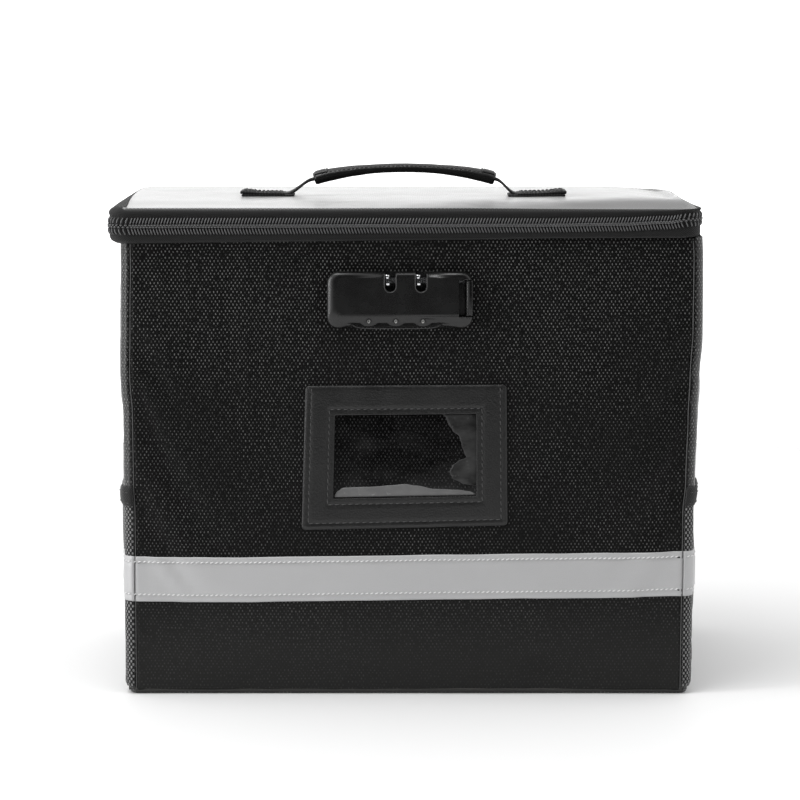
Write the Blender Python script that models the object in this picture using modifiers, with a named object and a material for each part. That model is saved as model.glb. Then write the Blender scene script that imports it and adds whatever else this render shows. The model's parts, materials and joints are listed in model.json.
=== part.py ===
"""Zip-around fire-resistant battery bag with a hinged lid, combination lock and carry handle.

Metres, +Z up. The origin is on the floor under the middle of the bag, the front faces -Y
and +X is the bag's right side as seen from the front.
"""
import math

import bmesh
import bpy
from mathutils import Matrix, Vector

GAP = 0.0003

# Body shell, from the outside in
BODY_HALF_X = 0.183
BODY_HALF_Y = 0.1195
BODY_TOP = 0.2935
CORNER_RADIUS = 0.006
FABRIC = 0.0012
BOARD = 0.003
LINER = 0.0008
RIM_TOP = 0.2980
SEAM_X = BODY_HALF_X - CORNER_RADIUS
SEAM_Y = BODY_HALF_Y - CORNER_RADIUS

# Lid and zip; the lid parts from the body at the hinge axis height
LID_TOP = 0.3135
HINGE_Z = 0.2995
BAND_RADIUS = 0.014
COIL_OUT = 0.0050
COIL_THICK = 0.0012
TAPE_OUT = 0.0035
TAPE_THICK = 0.0012
ZIP_REAR_Y = 0.112
PART_LINE = 0.0006
LOWER_TAPE_BOTTOM = 0.2901
UPPER_TAPE_TOP = 0.3053
COIL_REACH = 0.0046
LID_SKIRT_BOTTOM = 0.3059
LID_OUT = 0.0045

# Trim
STRIP_LOW = 0.062
STRIP_HIGH = 0.091
STRIP_THICK = 0.0005
POCKET_FLOOR = 0.006
POCKET_TOP = 0.134
BINDING_TALL = 0.014
POCKET_OUT = 0.0054
POCKET_MESH = 0.0009
POCKET_END_Y = 0.110
POCKET_FLAT_Y = 0.086

# ID pocket on the front
ID_LOW = 0.1090
ID_HIGH = 0.2002
ID_HALF_X = 0.0655
ID_OPEN_HALF_X = 0.0458
ID_OPEN_LOW = 0.1286
ID_OPEN_HIGH = 0.1817
ID_FRAME_THICK = 0.0014
WINDOW_THICK = 0.0004
WINDOW_LAP = 0.003

# Lock on the front
LOCK_LEFT = -0.0500
LOCK_RIGHT = 0.0423
LOCK_LOW = 0.2363
LOCK_HIGH = 0.2719
LOCK_CORNER = 0.007
LOCK_BASE_THICK = 0.0012
LOCK_COVER_BACK = BODY_HALF_Y + LOCK_BASE_THICK + 2 * GAP
LOCK_COVER_FRONT = BODY_HALF_Y + 0.0095
LOCK_WALL = 0.002
DIAL_X = (-0.0235, -0.0064, 0.0107)
DIAL_Z = 0.2455
DIAL_RADIUS = 0.0082
DIAL_THICK = 0.0028
DIAL_BORE = 0.0018
AXLE_RADIUS = 0.0015
NOTCH_RADIUS = 0.0022
NOTCH_Z = 0.2406
SOCKET_X = (-0.0099, 0.0096)
SOCKET_HALF = 0.0036
SOCKET_BOTTOM = 0.2592
CATCH_Z = 0.2664
CATCH_RADIUS = 0.0015
BAR_HALF = 0.0018
RELEASE_TRAVEL = 0.0030
RECESS_LEFT = 0.0333
RECESS_LOW = 0.2434
RECESS_HIGH = 0.2670
RECESS_DEPTH = 0.0048
BUTTON_LEFT = 0.0372

# Handle on the lid
FOOT_SPANS = {"left": (-0.110, -0.080), "right": (0.074, 0.107)}
FOOT_HALF_Y = 0.0125
FOOT_THICK = 0.0035
GRIP_SPAN = (-0.0605, 0.0590)
GRIP_END_Z = 0.3248
GRIP_MID_Z = 0.3315
GRIP_RADIUS = 0.0042
GRIP_MID_FACTOR = 0.68
GRIP_WIDE = 1.5
STRAP_HALF_Y = 0.0105
STRAP_THICK = 0.0018
STRAP_ROOT_Z = LID_TOP + 0.0025

# Zip sliders, parked on the right side run
SLIDER_Y = {"front": 0.072, "rear": 0.084}
SLIDER_HALF_Y = 0.0055
SLIDER_HALF_Z = 0.0048
SLIDER_PLATE = 0.0014
SLIDER_POST_HALF = 0.0004
PULL_LENGTH = 0.027
PULL_HALF_Z = 0.0042
PULL_THICK = 0.0012
PULL_BAR_HALF = 0.0006

BLACK_FABRIC = (0.018, 0.018, 0.018)
COLOURS = {
    "coated_fabric": (BLACK_FABRIC, 0.55, 0.0),
    "board": ((0.06, 0.06, 0.055), 0.8, 0.0),
    "lining": ((0.55, 0.56, 0.57), 0.5, 0.0),
    "reflective": ((0.42, 0.42, 0.43), 0.45, 0.2),
    "mesh": ((0.012, 0.012, 0.012), 0.8, 0.0),
    "zip_tape": ((0.010, 0.010, 0.010), 0.8, 0.0),
    "zip_coil": ((0.014, 0.014, 0.015), 0.35, 0.0),
    "zip_metal": ((0.05, 0.05, 0.055), 0.35, 1.0),
    "leather": ((0.022, 0.022, 0.023), 0.45, 0.0),
    "window": ((0.75, 0.77, 0.78), 0.08, 0.0),
    "lock_plastic": ((0.014, 0.014, 0.015), 0.32, 0.0),
    "dial_plastic": ((0.020, 0.020, 0.021), 0.4, 0.0),
    "chrome": ((0.75, 0.76, 0.78), 0.12, 1.0),
    "webbing": ((0.014, 0.014, 0.014), 0.75, 0.0),
}


def clear_scene():
    for ob in list(bpy.data.objects):
        bpy.data.objects.remove(ob, do_unlink=True)


def new_collection(name):
    made = bpy.data.collections.new(name)
    bpy.context.scene.collection.children.link(made)
    return made


clear_scene()
PARTS = new_collection("battery_bag")
CUTTERS = new_collection("cutters")


def material(name):
    """The named material, made the first time it is asked for."""
    found = bpy.data.materials.get(name)
    if found:
        return found
    colour, roughness, metallic = COLOURS[name]
    made = bpy.data.materials.new(name)
    made.use_nodes = True
    shader = made.node_tree.nodes["Principled BSDF"]
    shader.inputs["Base Color"].default_value = (*colour, 1.0)
    shader.inputs["Roughness"].default_value = roughness
    shader.inputs["Metallic"].default_value = metallic
    if name == "window":
        shader.inputs["Alpha"].default_value = 0.35
    return made


def mesh_object(name, bm, slot=None):
    """An object from bm: a part with a material, or a cutter where no slot is given."""
    bmesh.ops.recalc_face_normals(bm, faces=bm.faces)
    mesh = bpy.data.meshes.new(name)
    bm.to_mesh(mesh)
    bm.free()
    ob = bpy.data.objects.new(name, mesh)
    if slot:
        mesh.materials.append(material(slot))
        PARTS.objects.link(ob)
    else:
        ob.hide_render = True
        ob.display_type = "WIRE"
        CUTTERS.objects.link(ob)
    return ob


def cube_mesh(low, high):
    size = [h - l for l, h in zip(low, high)]
    centre = [(h + l) / 2 for l, h in zip(low, high)]
    bm = bmesh.new()
    bmesh.ops.create_cube(bm, size=1.0)
    bmesh.ops.scale(bm, vec=size, verts=bm.verts)
    bmesh.ops.translate(bm, vec=centre, verts=bm.verts)
    return bm


def bevel_edges(bm, width, segments, wanted):
    """Round the edges for which wanted(edge) is true."""
    edges = [e for e in bm.edges if wanted(e)]
    bmesh.ops.bevel(bm, geom=edges, offset=width, segments=segments, profile=0.5,
                    affect="EDGES", clamp_overlap=True)


def runs_along(axis):
    def wanted(edge):
        way = (edge.verts[1].co - edge.verts[0].co).normalized()
        return abs(way[axis]) > 0.99
    return wanted


def lies_on(axis, value):
    def wanted(edge):
        return all(abs(v.co[axis] - value) < 1e-5 for v in edge.verts)
    return wanted


def box(name, low, high, slot=None, edge=0.0, segments=2):
    bm = cube_mesh(low, high)
    if edge:
        bevel_edges(bm, edge, segments, lambda e: True)
    return mesh_object(name, bm, slot)


def rounded_box(name, low, high, slot, axis, radius, segments=4):
    """A box whose four edges along one axis are rounded."""
    bm = cube_mesh(low, high)
    bevel_edges(bm, radius, segments, runs_along(axis))
    return mesh_object(name, bm, slot)


def cylinder(name, centre, axis, radius, length, slot=None, sides=24, edge=0.0):
    bm = bmesh.new()
    bmesh.ops.create_cone(bm, cap_ends=True, segments=sides, radius1=radius, radius2=radius,
                          depth=length)
    if edge:
        bevel_edges(bm, edge, 1, lambda e: len(e.link_faces) == 2 and
                    any(len(f.verts) > 4 for f in e.link_faces))
    turn = Vector((0, 0, 1)).rotation_difference(Vector(axis)).to_matrix().to_4x4()
    bmesh.ops.transform(bm, matrix=Matrix.Translation(centre) @ turn, verts=bm.verts)
    return mesh_object(name, bm, slot)


def combine(ob, other, operation):
    """Cut other out of ob, or join it to ob, and keep only the result."""
    mod = ob.modifiers.new(operation.lower(), "BOOLEAN")
    mod.operation = operation
    mod.solver = "EXACT"
    mod.object = other
    bpy.context.view_layer.update()
    graph = bpy.context.evaluated_depsgraph_get()
    result = bpy.data.meshes.new_from_object(ob.evaluated_get(graph))
    ob.modifiers.remove(mod)
    old = ob.data
    ob.data = result
    bpy.data.meshes.remove(old)
    bpy.data.objects.remove(other, do_unlink=True)
    return ob


def cut(ob, cutter):
    return combine(ob, cutter, "DIFFERENCE")


def join(ob, other):
    return combine(ob, other, "UNION")


def set_origin(ob, point):
    """Move the object's origin to point and leave its mesh where it is."""
    ob.data.transform(Matrix.Translation(-Vector(point)))
    ob.location = point
    return ob


def sheet(name, points, sweep, thickness, slot):
    """A line of points swept along a vector and thickened evenly to both sides."""
    bm = bmesh.new()
    verts = [bm.verts.new(p) for p in points]
    edges = [bm.edges.new(pair) for pair in zip(verts, verts[1:])]
    swept = bmesh.ops.extrude_edge_only(bm, edges=edges)
    moved = [g for g in swept["geom"] if isinstance(g, bmesh.types.BMVert)]
    bmesh.ops.translate(bm, vec=sweep, verts=moved)
    ob = mesh_object(name, bm, slot)
    mod = ob.modifiers.new("thickness", "SOLIDIFY")
    mod.thickness = thickness
    mod.offset = 0.0
    mod.use_even_offset = True
    return ob


def arc(centre, radius, start, end, steps):
    """Points of an arc in plan, angles in degrees."""
    angles = [math.radians(start + (end - start) * i / steps) for i in range(steps + 1)]
    return [(centre[0] + radius * math.cos(a), centre[1] + radius * math.sin(a)) for a in angles]


def zip_path(out, inner_radius):
    """Plan path of the zip at a distance outside the body: left run, front, right run."""
    half_x = BODY_HALF_X + out
    half_y = BODY_HALF_Y + out
    radius = inner_radius + out
    turn_x = half_x - radius
    turn_y = half_y - radius
    points = [(-half_x, ZIP_REAR_Y)]
    points += arc((-turn_x, -turn_y), radius, 180, 270, 5)
    points += arc((turn_x, -turn_y), radius, 270, 360, 5)
    points.append((half_x, ZIP_REAR_Y))
    return points


def zip_band(name, inner, outer, low, high, slot, inner_radius=BAND_RADIUS - COIL_OUT):
    points = [(x, y, low) for x, y in zip_path((inner + outer) / 2, inner_radius)]
    return sheet(name, points, (0, 0, high - low), outer - inner, slot)


def make_body():
    front = -BODY_HALF_Y
    inside = FABRIC + GAP
    panel_low = 0.0004
    for name, outer in (("panel_front", front), ("panel_back", -front)):
        inner = outer - math.copysign(FABRIC, outer)
        ys = sorted((outer, inner))
        box(name, (-SEAM_X + GAP, ys[0], panel_low), (SEAM_X - GAP, ys[1], BODY_TOP),
            "coated_fabric")
    mid = CORNER_RADIUS - FABRIC / 2
    for name, side in (("side_left", -1), ("side_right", 1)):
        path = arc((SEAM_X, -SEAM_Y), mid, 270, 360, 4) + arc((SEAM_X, SEAM_Y), mid, 0, 90, 4)
        points = [(side * x, y, panel_low) for x, y in path]
        sheet(name, points, (0, 0, BODY_TOP - panel_low), FABRIC, "coated_fabric")
    half_x = BODY_HALF_X - inside
    half_y = BODY_HALF_Y - inside
    rounded_box("panel_base", (-half_x, -half_y, 0), (half_x, half_y, FABRIC),
                "coated_fabric", 2, CORNER_RADIUS - inside)
    deep_x = half_x - BOARD
    deep_y = half_y - BOARD
    low = FABRIC + GAP
    clear = 0.0010
    for name, side in (("board_front", -1), ("board_back", 1)):
        ys = sorted((side * half_y, side * deep_y))
        box(name, (-deep_x + clear, ys[0], low), (deep_x - clear, ys[1], RIM_TOP), "board")
    for name, side in (("board_left", -1), ("board_right", 1)):
        xs = sorted((side * half_x, side * deep_x))
        box(name, (xs[0], -deep_y + clear, low), (xs[1], deep_y - clear, RIM_TOP), "board")
    box("board_base", (-deep_x + GAP, -deep_y + GAP, low),
        (deep_x - GAP, deep_y - GAP, low + BOARD), "board")
    floor = low + BOARD + GAP
    high = (deep_x - GAP, deep_y - GAP, RIM_TOP - 0.0005)
    liner = box("liner", (-high[0], -high[1], floor), high, "lining")
    hollow = (high[0] - LINER, high[1] - LINER, RIM_TOP + 0.01)
    cut(liner, box("liner_hollow", (-hollow[0], -hollow[1], floor + LINER), hollow))


def pocket_path(out):
    """Plan path of a right-hand side pocket, out metres off the side panel."""
    end_out = 0.0009
    return [(BODY_HALF_X + end_out, -POCKET_END_Y), (BODY_HALF_X + out, -POCKET_FLAT_Y),
            (BODY_HALF_X + out, POCKET_FLAT_Y), (BODY_HALF_X + end_out, POCKET_END_Y)]


def make_pockets():
    """Mesh pockets: a sheet off the side panel, joined to it by a floor and both ends."""
    mesh_top = POCKET_TOP - BINDING_TALL - GAP
    for label, side in (("left", -1), ("right", 1)):
        points = [(side * x, y, POCKET_FLOOR) for x, y in pocket_path(POCKET_OUT)]
        pocket = sheet("pocket_" + label, points, (0, 0, mesh_top - POCKET_FLOOR),
                       POCKET_MESH, "mesh")
        inner = BODY_HALF_X + GAP
        outer = BODY_HALF_X + POCKET_OUT
        xs = sorted((side * inner, side * outer))
        floor = box("pocket_floor_" + label, (xs[0], -POCKET_FLAT_Y, POCKET_FLOOR),
                    (xs[1], POCKET_FLAT_Y, POCKET_FLOOR + POCKET_MESH))
        join(pocket, floor)
        pocket.modifiers.clear()
        points = [(side * x, y, POCKET_TOP - BINDING_TALL) for x, y in pocket_path(POCKET_OUT)]
        sheet("pocket_binding_" + label, points, (0, 0, BINDING_TALL), 2 * POCKET_MESH,
              "webbing")


def make_strips():
    half = BODY_HALF_Y + GAP
    for name, side in (("strip_front", -1), ("strip_back", 1)):
        ys = sorted((side * half, side * (half + STRIP_THICK)))
        box(name, (-SEAM_X, ys[0], STRIP_LOW), (SEAM_X, ys[1], STRIP_HIGH), "reflective")
    out = POCKET_MESH / 2 + GAP + STRIP_THICK / 2
    for name, side in (("strip_left", -1), ("strip_right", 1)):
        points = [(side * (x + out), y, STRIP_LOW) for x, y in pocket_path(POCKET_OUT)]
        sheet(name, points, (0, 0, STRIP_HIGH - STRIP_LOW), STRIP_THICK, "reflective")


def make_lower_zip():
    tape_in = TAPE_OUT - TAPE_THICK
    zip_band("zip_binding_lower", GAP, TAPE_OUT, LOWER_TAPE_BOTTOM - 0.0033,
             LOWER_TAPE_BOTTOM - GAP, "zip_tape", CORNER_RADIUS)
    zip_band("zip_tape_lower", tape_in, TAPE_OUT, LOWER_TAPE_BOTTOM, HINGE_Z - PART_LINE,
             "zip_tape")
    zip_band("zip_coil_lower", COIL_OUT - COIL_THICK, COIL_OUT, HINGE_Z - COIL_REACH,
             HINGE_Z - PART_LINE, "zip_coil")
    for label, side in (("left", -1), ("right", 1)):
        xs = sorted((side * (BODY_HALF_X + GAP), side * (BODY_HALF_X + COIL_OUT)))
        box("zip_stop_" + label, (xs[0], ZIP_REAR_Y + GAP, HINGE_Z - COIL_REACH),
            (xs[1], ZIP_REAR_Y + 0.003, HINGE_Z - PART_LINE), "zip_metal", 0.0005, 1)


def make_id_pocket():
    back = -BODY_HALF_Y - GAP
    window_front = back - WINDOW_THICK
    box("id_window", (-ID_OPEN_HALF_X - WINDOW_LAP, window_front, ID_OPEN_LOW - WINDOW_LAP),
        (ID_OPEN_HALF_X + WINDOW_LAP, back, ID_OPEN_HIGH + WINDOW_LAP), "window")
    frame_back = window_front - GAP
    frame = rounded_box("id_frame", (-ID_HALF_X, frame_back - ID_FRAME_THICK, ID_LOW),
                        (ID_HALF_X, frame_back, ID_HIGH), "leather", 1, 0.002, 2)
    cut(frame, box("id_opening", (-ID_OPEN_HALF_X, frame_back - 0.01, ID_OPEN_LOW),
                   (ID_OPEN_HALF_X, frame_back + 0.01, ID_OPEN_HIGH)))


def make_lock_base():
    back = -BODY_HALF_Y - GAP
    front = back - LOCK_BASE_THICK
    base = rounded_box("lock_base", (LOCK_LEFT, front, LOCK_LOW), (LOCK_RIGHT, back, LOCK_HIGH),
                       "lock_plastic", 1, LOCK_CORNER, 4)
    axle_front = -LOCK_COVER_FRONT + LOCK_WALL + 0.0004
    for i, x in enumerate(DIAL_X):
        length = back - 0.0002 - axle_front
        axle = cylinder("axle_%d" % (i + 1), (x, axle_front + length / 2, DIAL_Z), (0, 1, 0),
                        AXLE_RADIUS, length, None, 16)
        join(base, axle)
    inner = -BODY_HALF_Y + 2 * FABRIC + BOARD + 3 * GAP
    rounded_box("lock_backplate", (LOCK_LEFT + 0.006, inner, LOCK_LOW + 0.004),
                (LOCK_RIGHT - 0.006, inner + 0.001, LOCK_HIGH - 0.004), "zip_metal", 1, 0.004, 3)


def lock_cover_blank():
    bm = cube_mesh((LOCK_LEFT, -LOCK_COVER_FRONT, LOCK_LOW),
                   (LOCK_RIGHT, -LOCK_COVER_BACK, LOCK_HIGH))
    bevel_edges(bm, LOCK_CORNER, 5, runs_along(1))
    bevel_edges(bm, 0.0018, 3, lies_on(1, -LOCK_COVER_FRONT))
    return mesh_object("lock_cover", bm, "lock_plastic")


def scoop_cutter():
    """The relief along the cover's lower edge that lets a finger reach the dials."""
    left = DIAL_X[0] - 0.0105
    right = DIAL_X[2] + 0.0112
    below = LOCK_LOW - 0.002
    high = LOCK_LOW + 0.0035
    bm = bmesh.new()
    outline = ((left - 0.0050, below), (right + 0.0050, below), (right, high), (left, high))
    face = bm.faces.new([bm.verts.new((x, -LOCK_COVER_FRONT - 0.002, z)) for x, z in outline])
    pushed = bmesh.ops.extrude_face_region(bm, geom=[face])
    moved = [g for g in pushed["geom"] if isinstance(g, bmesh.types.BMVert)]
    bmesh.ops.translate(bm, vec=(0, 0.012, 0), verts=moved)
    return mesh_object("scoop", bm)


def make_lock_cover():
    cover = lock_cover_blank()
    behind = -LOCK_COVER_BACK + 0.002
    wall = -LOCK_COVER_FRONT + LOCK_WALL
    clear = 0.0007
    reach = DIAL_RADIUS + clear
    cut(cover, box("dial_room", (DIAL_X[0] - reach, wall, LOCK_LOW - 0.002),
                   (DIAL_X[2] + reach, behind, DIAL_Z + reach)))
    cut(cover, scoop_cutter())
    for x in DIAL_X:
        cut(cover, cylinder("notch", (x, wall, NOTCH_Z), (0, 1, 0), NOTCH_RADIUS,
                            4 * LOCK_WALL, None, 16))
        cut(cover, box("notch_mouth", (x - NOTCH_RADIUS, -LOCK_COVER_FRONT - 0.002, LOCK_LOW),
                       (x + NOTCH_RADIUS, wall + 0.001, NOTCH_Z)))
    bar_room = BAR_HALF + GAP
    bar_front = -LOCK_COVER_BACK - 0.0022
    cut(cover, box("bar_channel", (SOCKET_X[0] - 0.008, bar_front, CATCH_Z - bar_room),
                   (LOCK_RIGHT - 0.001, behind, CATCH_Z + bar_room)))
    for x in SOCKET_X:
        cut(cover, cylinder("socket_end", (x, -LOCK_COVER_FRONT, SOCKET_BOTTOM + SOCKET_HALF),
                            (0, 1, 0), SOCKET_HALF, 0.024, None, 20))
        cut(cover, box("socket", (x - SOCKET_HALF, -LOCK_COVER_FRONT - 0.004,
                                  SOCKET_BOTTOM + SOCKET_HALF),
                       (x + SOCKET_HALF, behind, LOCK_HIGH + 0.004)))
        room = CATCH_RADIUS + GAP
        cut(cover, box("catch_way", (x - SOCKET_HALF - RELEASE_TRAVEL, wall - 0.0006,
                                     CATCH_Z - room),
                       (x, behind, CATCH_Z + room)))
    recess_floor = -LOCK_COVER_FRONT + RECESS_DEPTH
    cut(cover, box("recess", (RECESS_LEFT, -LOCK_COVER_FRONT - 0.002, RECESS_LOW),
                   (LOCK_RIGHT + 0.002, recess_floor, RECESS_HIGH)))
    cut(cover, box("neck_way", (RECESS_LEFT + 0.0004, recess_floor - 0.001, CATCH_Z - bar_room),
                   (LOCK_RIGHT - 0.001, behind, RECESS_HIGH - 0.0002)))


def make_dials():
    front = -LOCK_COVER_FRONT + LOCK_WALL + 0.0004
    for i, x in enumerate(DIAL_X):
        centre = (x, front + DIAL_THICK / 2, DIAL_Z)
        dial = cylinder("dial_%d" % (i + 1), centre, (0, 1, 0), DIAL_RADIUS, DIAL_THICK,
                        "dial_plastic", 32, 0.0003)
        cut(dial, cylinder("bore", centre, (0, 1, 0), DIAL_BORE, 2 * DIAL_THICK, None, 16))
        set_origin(dial, centre)


def make_release():
    back = -LOCK_COVER_BACK - 0.0003
    front = -LOCK_COVER_BACK - 0.0019
    neck_left = BUTTON_LEFT + 0.0006
    bar = box("release_bar", (SOCKET_X[0] - 0.0035, front, CATCH_Z - BAR_HALF),
              (LOCK_RIGHT - 0.0016, back, CATCH_Z + BAR_HALF), "chrome")
    catch_front = -LOCK_COVER_FRONT + LOCK_WALL
    length = back - catch_front - 0.0005
    for x in SOCKET_X:
        place = (x - 0.0016, catch_front + length / 2, CATCH_Z)
        join(bar, cylinder("catch", place, (0, 1, 0), CATCH_RADIUS, length, None, 16))
    recess_floor = -LOCK_COVER_FRONT + RECESS_DEPTH
    join(bar, box("neck", (neck_left, recess_floor - 0.0002, CATCH_Z - BAR_HALF + 0.0002),
                  (LOCK_RIGHT - 0.0018, back - 0.0005, RECESS_HIGH - 0.0006)))
    box("release_button", (BUTTON_LEFT, -LOCK_COVER_FRONT + 0.0006,
                                    RECESS_LOW + 0.0005),
                 (LOCK_RIGHT - 0.0002, recess_floor - 0.0005, RECESS_HIGH - 0.0005),
                 "lock_plastic", 0.0005, 2)


def make_lid():
    out = BODY_HALF_X + LID_OUT
    front = -BODY_HALF_Y - LID_OUT
    bm = cube_mesh((-out, front, LID_SKIRT_BOTTOM), (out, BODY_HALF_Y, LID_TOP))
    bevel_edges(bm, BAND_RADIUS, 5, lambda e: runs_along(2)(e) and e.verts[0].co.y < 0)
    bevel_edges(bm, 0.005, 2, lambda e: runs_along(2)(e) and e.verts[0].co.y > BODY_HALF_Y - 1e-4)
    bevel_edges(bm, 0.0055, 3, lies_on(2, LID_TOP))
    cover = mesh_object("lid_cover", bm, "coated_fabric")
    wall = 0.0022
    cut(cover, rounded_box("lid_hollow", (-out + wall, front + wall, LID_SKIRT_BOTTOM - 0.01),
                           (out - wall, BODY_HALF_Y - wall, LID_TOP - FABRIC - 0.001),
                           None, 2, BAND_RADIUS - wall))
    inset = wall + GAP
    top = LID_TOP - FABRIC - 0.001 - GAP
    board = (out - inset, BODY_HALF_Y - inset)
    rounded_box("lid_board", (-board[0], front + inset, LID_SKIRT_BOTTOM),
                (board[0], board[1], top), "board", 2, BAND_RADIUS - inset)
    pad_x = BODY_HALF_X - 0.0006
    rounded_box("lid_lining", (-pad_x, -BODY_HALF_Y + 0.0006, HINGE_Z + PART_LINE),
                (pad_x, BODY_HALF_Y - 0.0006, LID_SKIRT_BOTTOM - GAP), "lining", 2, 0.008)
    tape_in = TAPE_OUT - TAPE_THICK
    zip_band("zip_tape_upper", tape_in, TAPE_OUT, HINGE_Z + PART_LINE, UPPER_TAPE_TOP,
             "zip_tape")
    zip_band("zip_coil_upper", COIL_OUT - COIL_THICK, COIL_OUT, HINGE_Z + PART_LINE,
             HINGE_Z + COIL_REACH + PART_LINE, "zip_coil")


def make_hinge():
    """The fabric hinge, split at the axis: one leaf on the back panel, one on the lid."""
    back = BODY_HALF_Y + GAP
    front = back + FABRIC
    half = SEAM_X - 0.004
    box("hinge_leaf_lower", (-half, back, BODY_TOP - 0.022), (half, front, HINGE_Z - GAP),
        "webbing")
    box("hinge_leaf_upper", (-half, back, HINGE_Z + GAP), (half, front, LID_TOP - 0.0062),
        "webbing")


def strap_points(root_x, end_x, end_z):
    """An S-shaped rise from a handle foot to the end of the grip."""
    steps = 6
    points = []
    for i in range(steps + 1):
        t = i / steps
        ease = t * t * (3 - 2 * t)
        points.append((root_x + (end_x - root_x) * t, -STRAP_HALF_Y,
                       STRAP_ROOT_Z + (end_z - STRAP_ROOT_Z) * ease))
    return points


def make_grip():
    left, right = GRIP_SPAN
    curve = bpy.data.curves.new("grip_path", "CURVE")
    curve.dimensions = "3D"
    curve.bevel_depth = GRIP_RADIUS
    curve.bevel_resolution = 3
    curve.use_fill_caps = True
    line = curve.splines.new("POLY")
    count = 17
    line.points.add(count - 1)
    for i, point in enumerate(line.points):
        t = i / (count - 1)
        bulge = math.sin(math.pi * t)
        z = GRIP_END_Z + (GRIP_MID_Z - GRIP_END_Z) * bulge
        point.co = (left + (right - left) * t, 0, z, 1)
        point.radius = 1 + (GRIP_MID_FACTOR - 1) * bulge ** 0.5
    guide = bpy.data.objects.new("grip_path", curve)
    CUTTERS.objects.link(guide)
    bpy.context.view_layer.update()
    graph = bpy.context.evaluated_depsgraph_get()
    mesh = bpy.data.meshes.new_from_object(guide.evaluated_get(graph))
    bpy.data.objects.remove(guide, do_unlink=True)
    bm = bmesh.new()
    bm.from_mesh(mesh)
    bpy.data.meshes.remove(mesh)
    bmesh.ops.remove_doubles(bm, verts=bm.verts, dist=1e-5)
    bmesh.ops.scale(bm, vec=(1, GRIP_WIDE, 1), verts=bm.verts)
    grip = mesh_object("handle_grip", bm, "leather")
    set_origin(grip, (0, 0, STRAP_ROOT_Z))


def make_handle():
    low = LID_TOP + GAP
    for label, (x0, x1) in FOOT_SPANS.items():
        box("handle_foot_" + label, (x0, -FOOT_HALF_Y, low), (x1, FOOT_HALF_Y, low + FOOT_THICK),
            "webbing", 0.0008, 2)
    make_grip()
    ends = {"left": (FOOT_SPANS["left"][1] + GAP, GRIP_SPAN[0] - 0.0006),
            "right": (FOOT_SPANS["right"][0] - GAP, GRIP_SPAN[1] + 0.0006)}
    for label, (root_x, end_x) in ends.items():
        sheet("handle_strap_" + label, strap_points(root_x, end_x, GRIP_END_Z),
              (0, 2 * STRAP_HALF_Y, 0), STRAP_THICK, "webbing")


def make_slider(label, y):
    """A zip slider: an outer and an inner plate joined by a post through the zip."""
    outer = BODY_HALF_X + COIL_OUT + GAP
    inner = BODY_HALF_X + 0.0007
    inner_out = BODY_HALF_X + TAPE_OUT - TAPE_THICK - 0.0002
    low, high = HINGE_Z - SLIDER_HALF_Z, HINGE_Z + SLIDER_HALF_Z
    half = SLIDER_HALF_Y
    slider = box("slider_" + label, (outer, y - half, low), (outer + SLIDER_PLATE, y + half, high),
                 "zip_metal", 0.0005, 1)
    join(slider, box("inner", (inner, y - half + 0.001, low + 0.0008),
                     (inner_out, y + half - 0.001, high - 0.0008)))
    join(slider, box("post", (inner_out - 0.0004, y - 0.0015, HINGE_Z - SLIDER_POST_HALF),
                     (outer + 0.0004, y + 0.0015, HINGE_Z + SLIDER_POST_HALF)))
    face = outer + SLIDER_PLATE
    bridge = box("bridge", (face - 0.0003, y - 0.0042, HINGE_Z - 0.0010),
                 (face + 0.0033, y + 0.0042, HINGE_Z + 0.0010))
    cut(bridge, box("bridge_gap", (face - 0.002, y - 0.0026, HINGE_Z - 0.002),
                    (face + 0.0023, y + 0.0026, HINGE_Z + 0.002)))
    join(slider, bridge)
    set_origin(slider, (face, y, HINGE_Z))
    return face + 0.00115


def make_pull(label, y, axis_x, way):
    """A pull tab whose end bar turns under the slider's bridge."""
    thick = PULL_THICK / 2
    ends = sorted((y - way * PULL_BAR_HALF, y + way * PULL_LENGTH))
    pull = rounded_box("pull_" + label, (axis_x - thick, ends[0], HINGE_Z - PULL_HALF_Z),
                       (axis_x + thick, ends[1], HINGE_Z + PULL_HALF_Z), "zip_metal", 0, 0.0006, 1)
    eye = sorted((y + way * PULL_BAR_HALF, y + way * 0.0068))
    cut(pull, box("eye", (axis_x - 0.004, eye[0], HINGE_Z - 0.0020),
                  (axis_x + 0.004, eye[1], HINGE_Z + 0.0020)))
    slot = sorted((y + way * 0.012, y + way * (PULL_LENGTH - 0.004)))
    cut(pull, box("slot", (axis_x - 0.004, slot[0], HINGE_Z - 0.0016),
                  (axis_x + 0.004, slot[1], HINGE_Z + 0.0016)))
    set_origin(pull, (axis_x, y, HINGE_Z))


make_body()
make_strips()
make_pockets()
make_lower_zip()
make_id_pocket()
make_lock_base()
make_lock_cover()
make_dials()
make_release()
make_lid()
make_hinge()
make_handle()
for slider_label, pull_way in (("front", -1), ("rear", 1)):
    slider_y = SLIDER_Y[slider_label]
    bar_x = make_slider(slider_label, slider_y)
    make_pull(slider_label, slider_y, bar_x, pull_way)

for part in PARTS.objects:
    part.data.shade_smooth()
    part.data.set_sharp_from_angle(angle=math.radians(35))
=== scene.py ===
import bisect
import json
import math

import bmesh
import bpy
from mathutils import Matrix, Vector, noise
from mathutils.bvhtree import BVHTree


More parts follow.
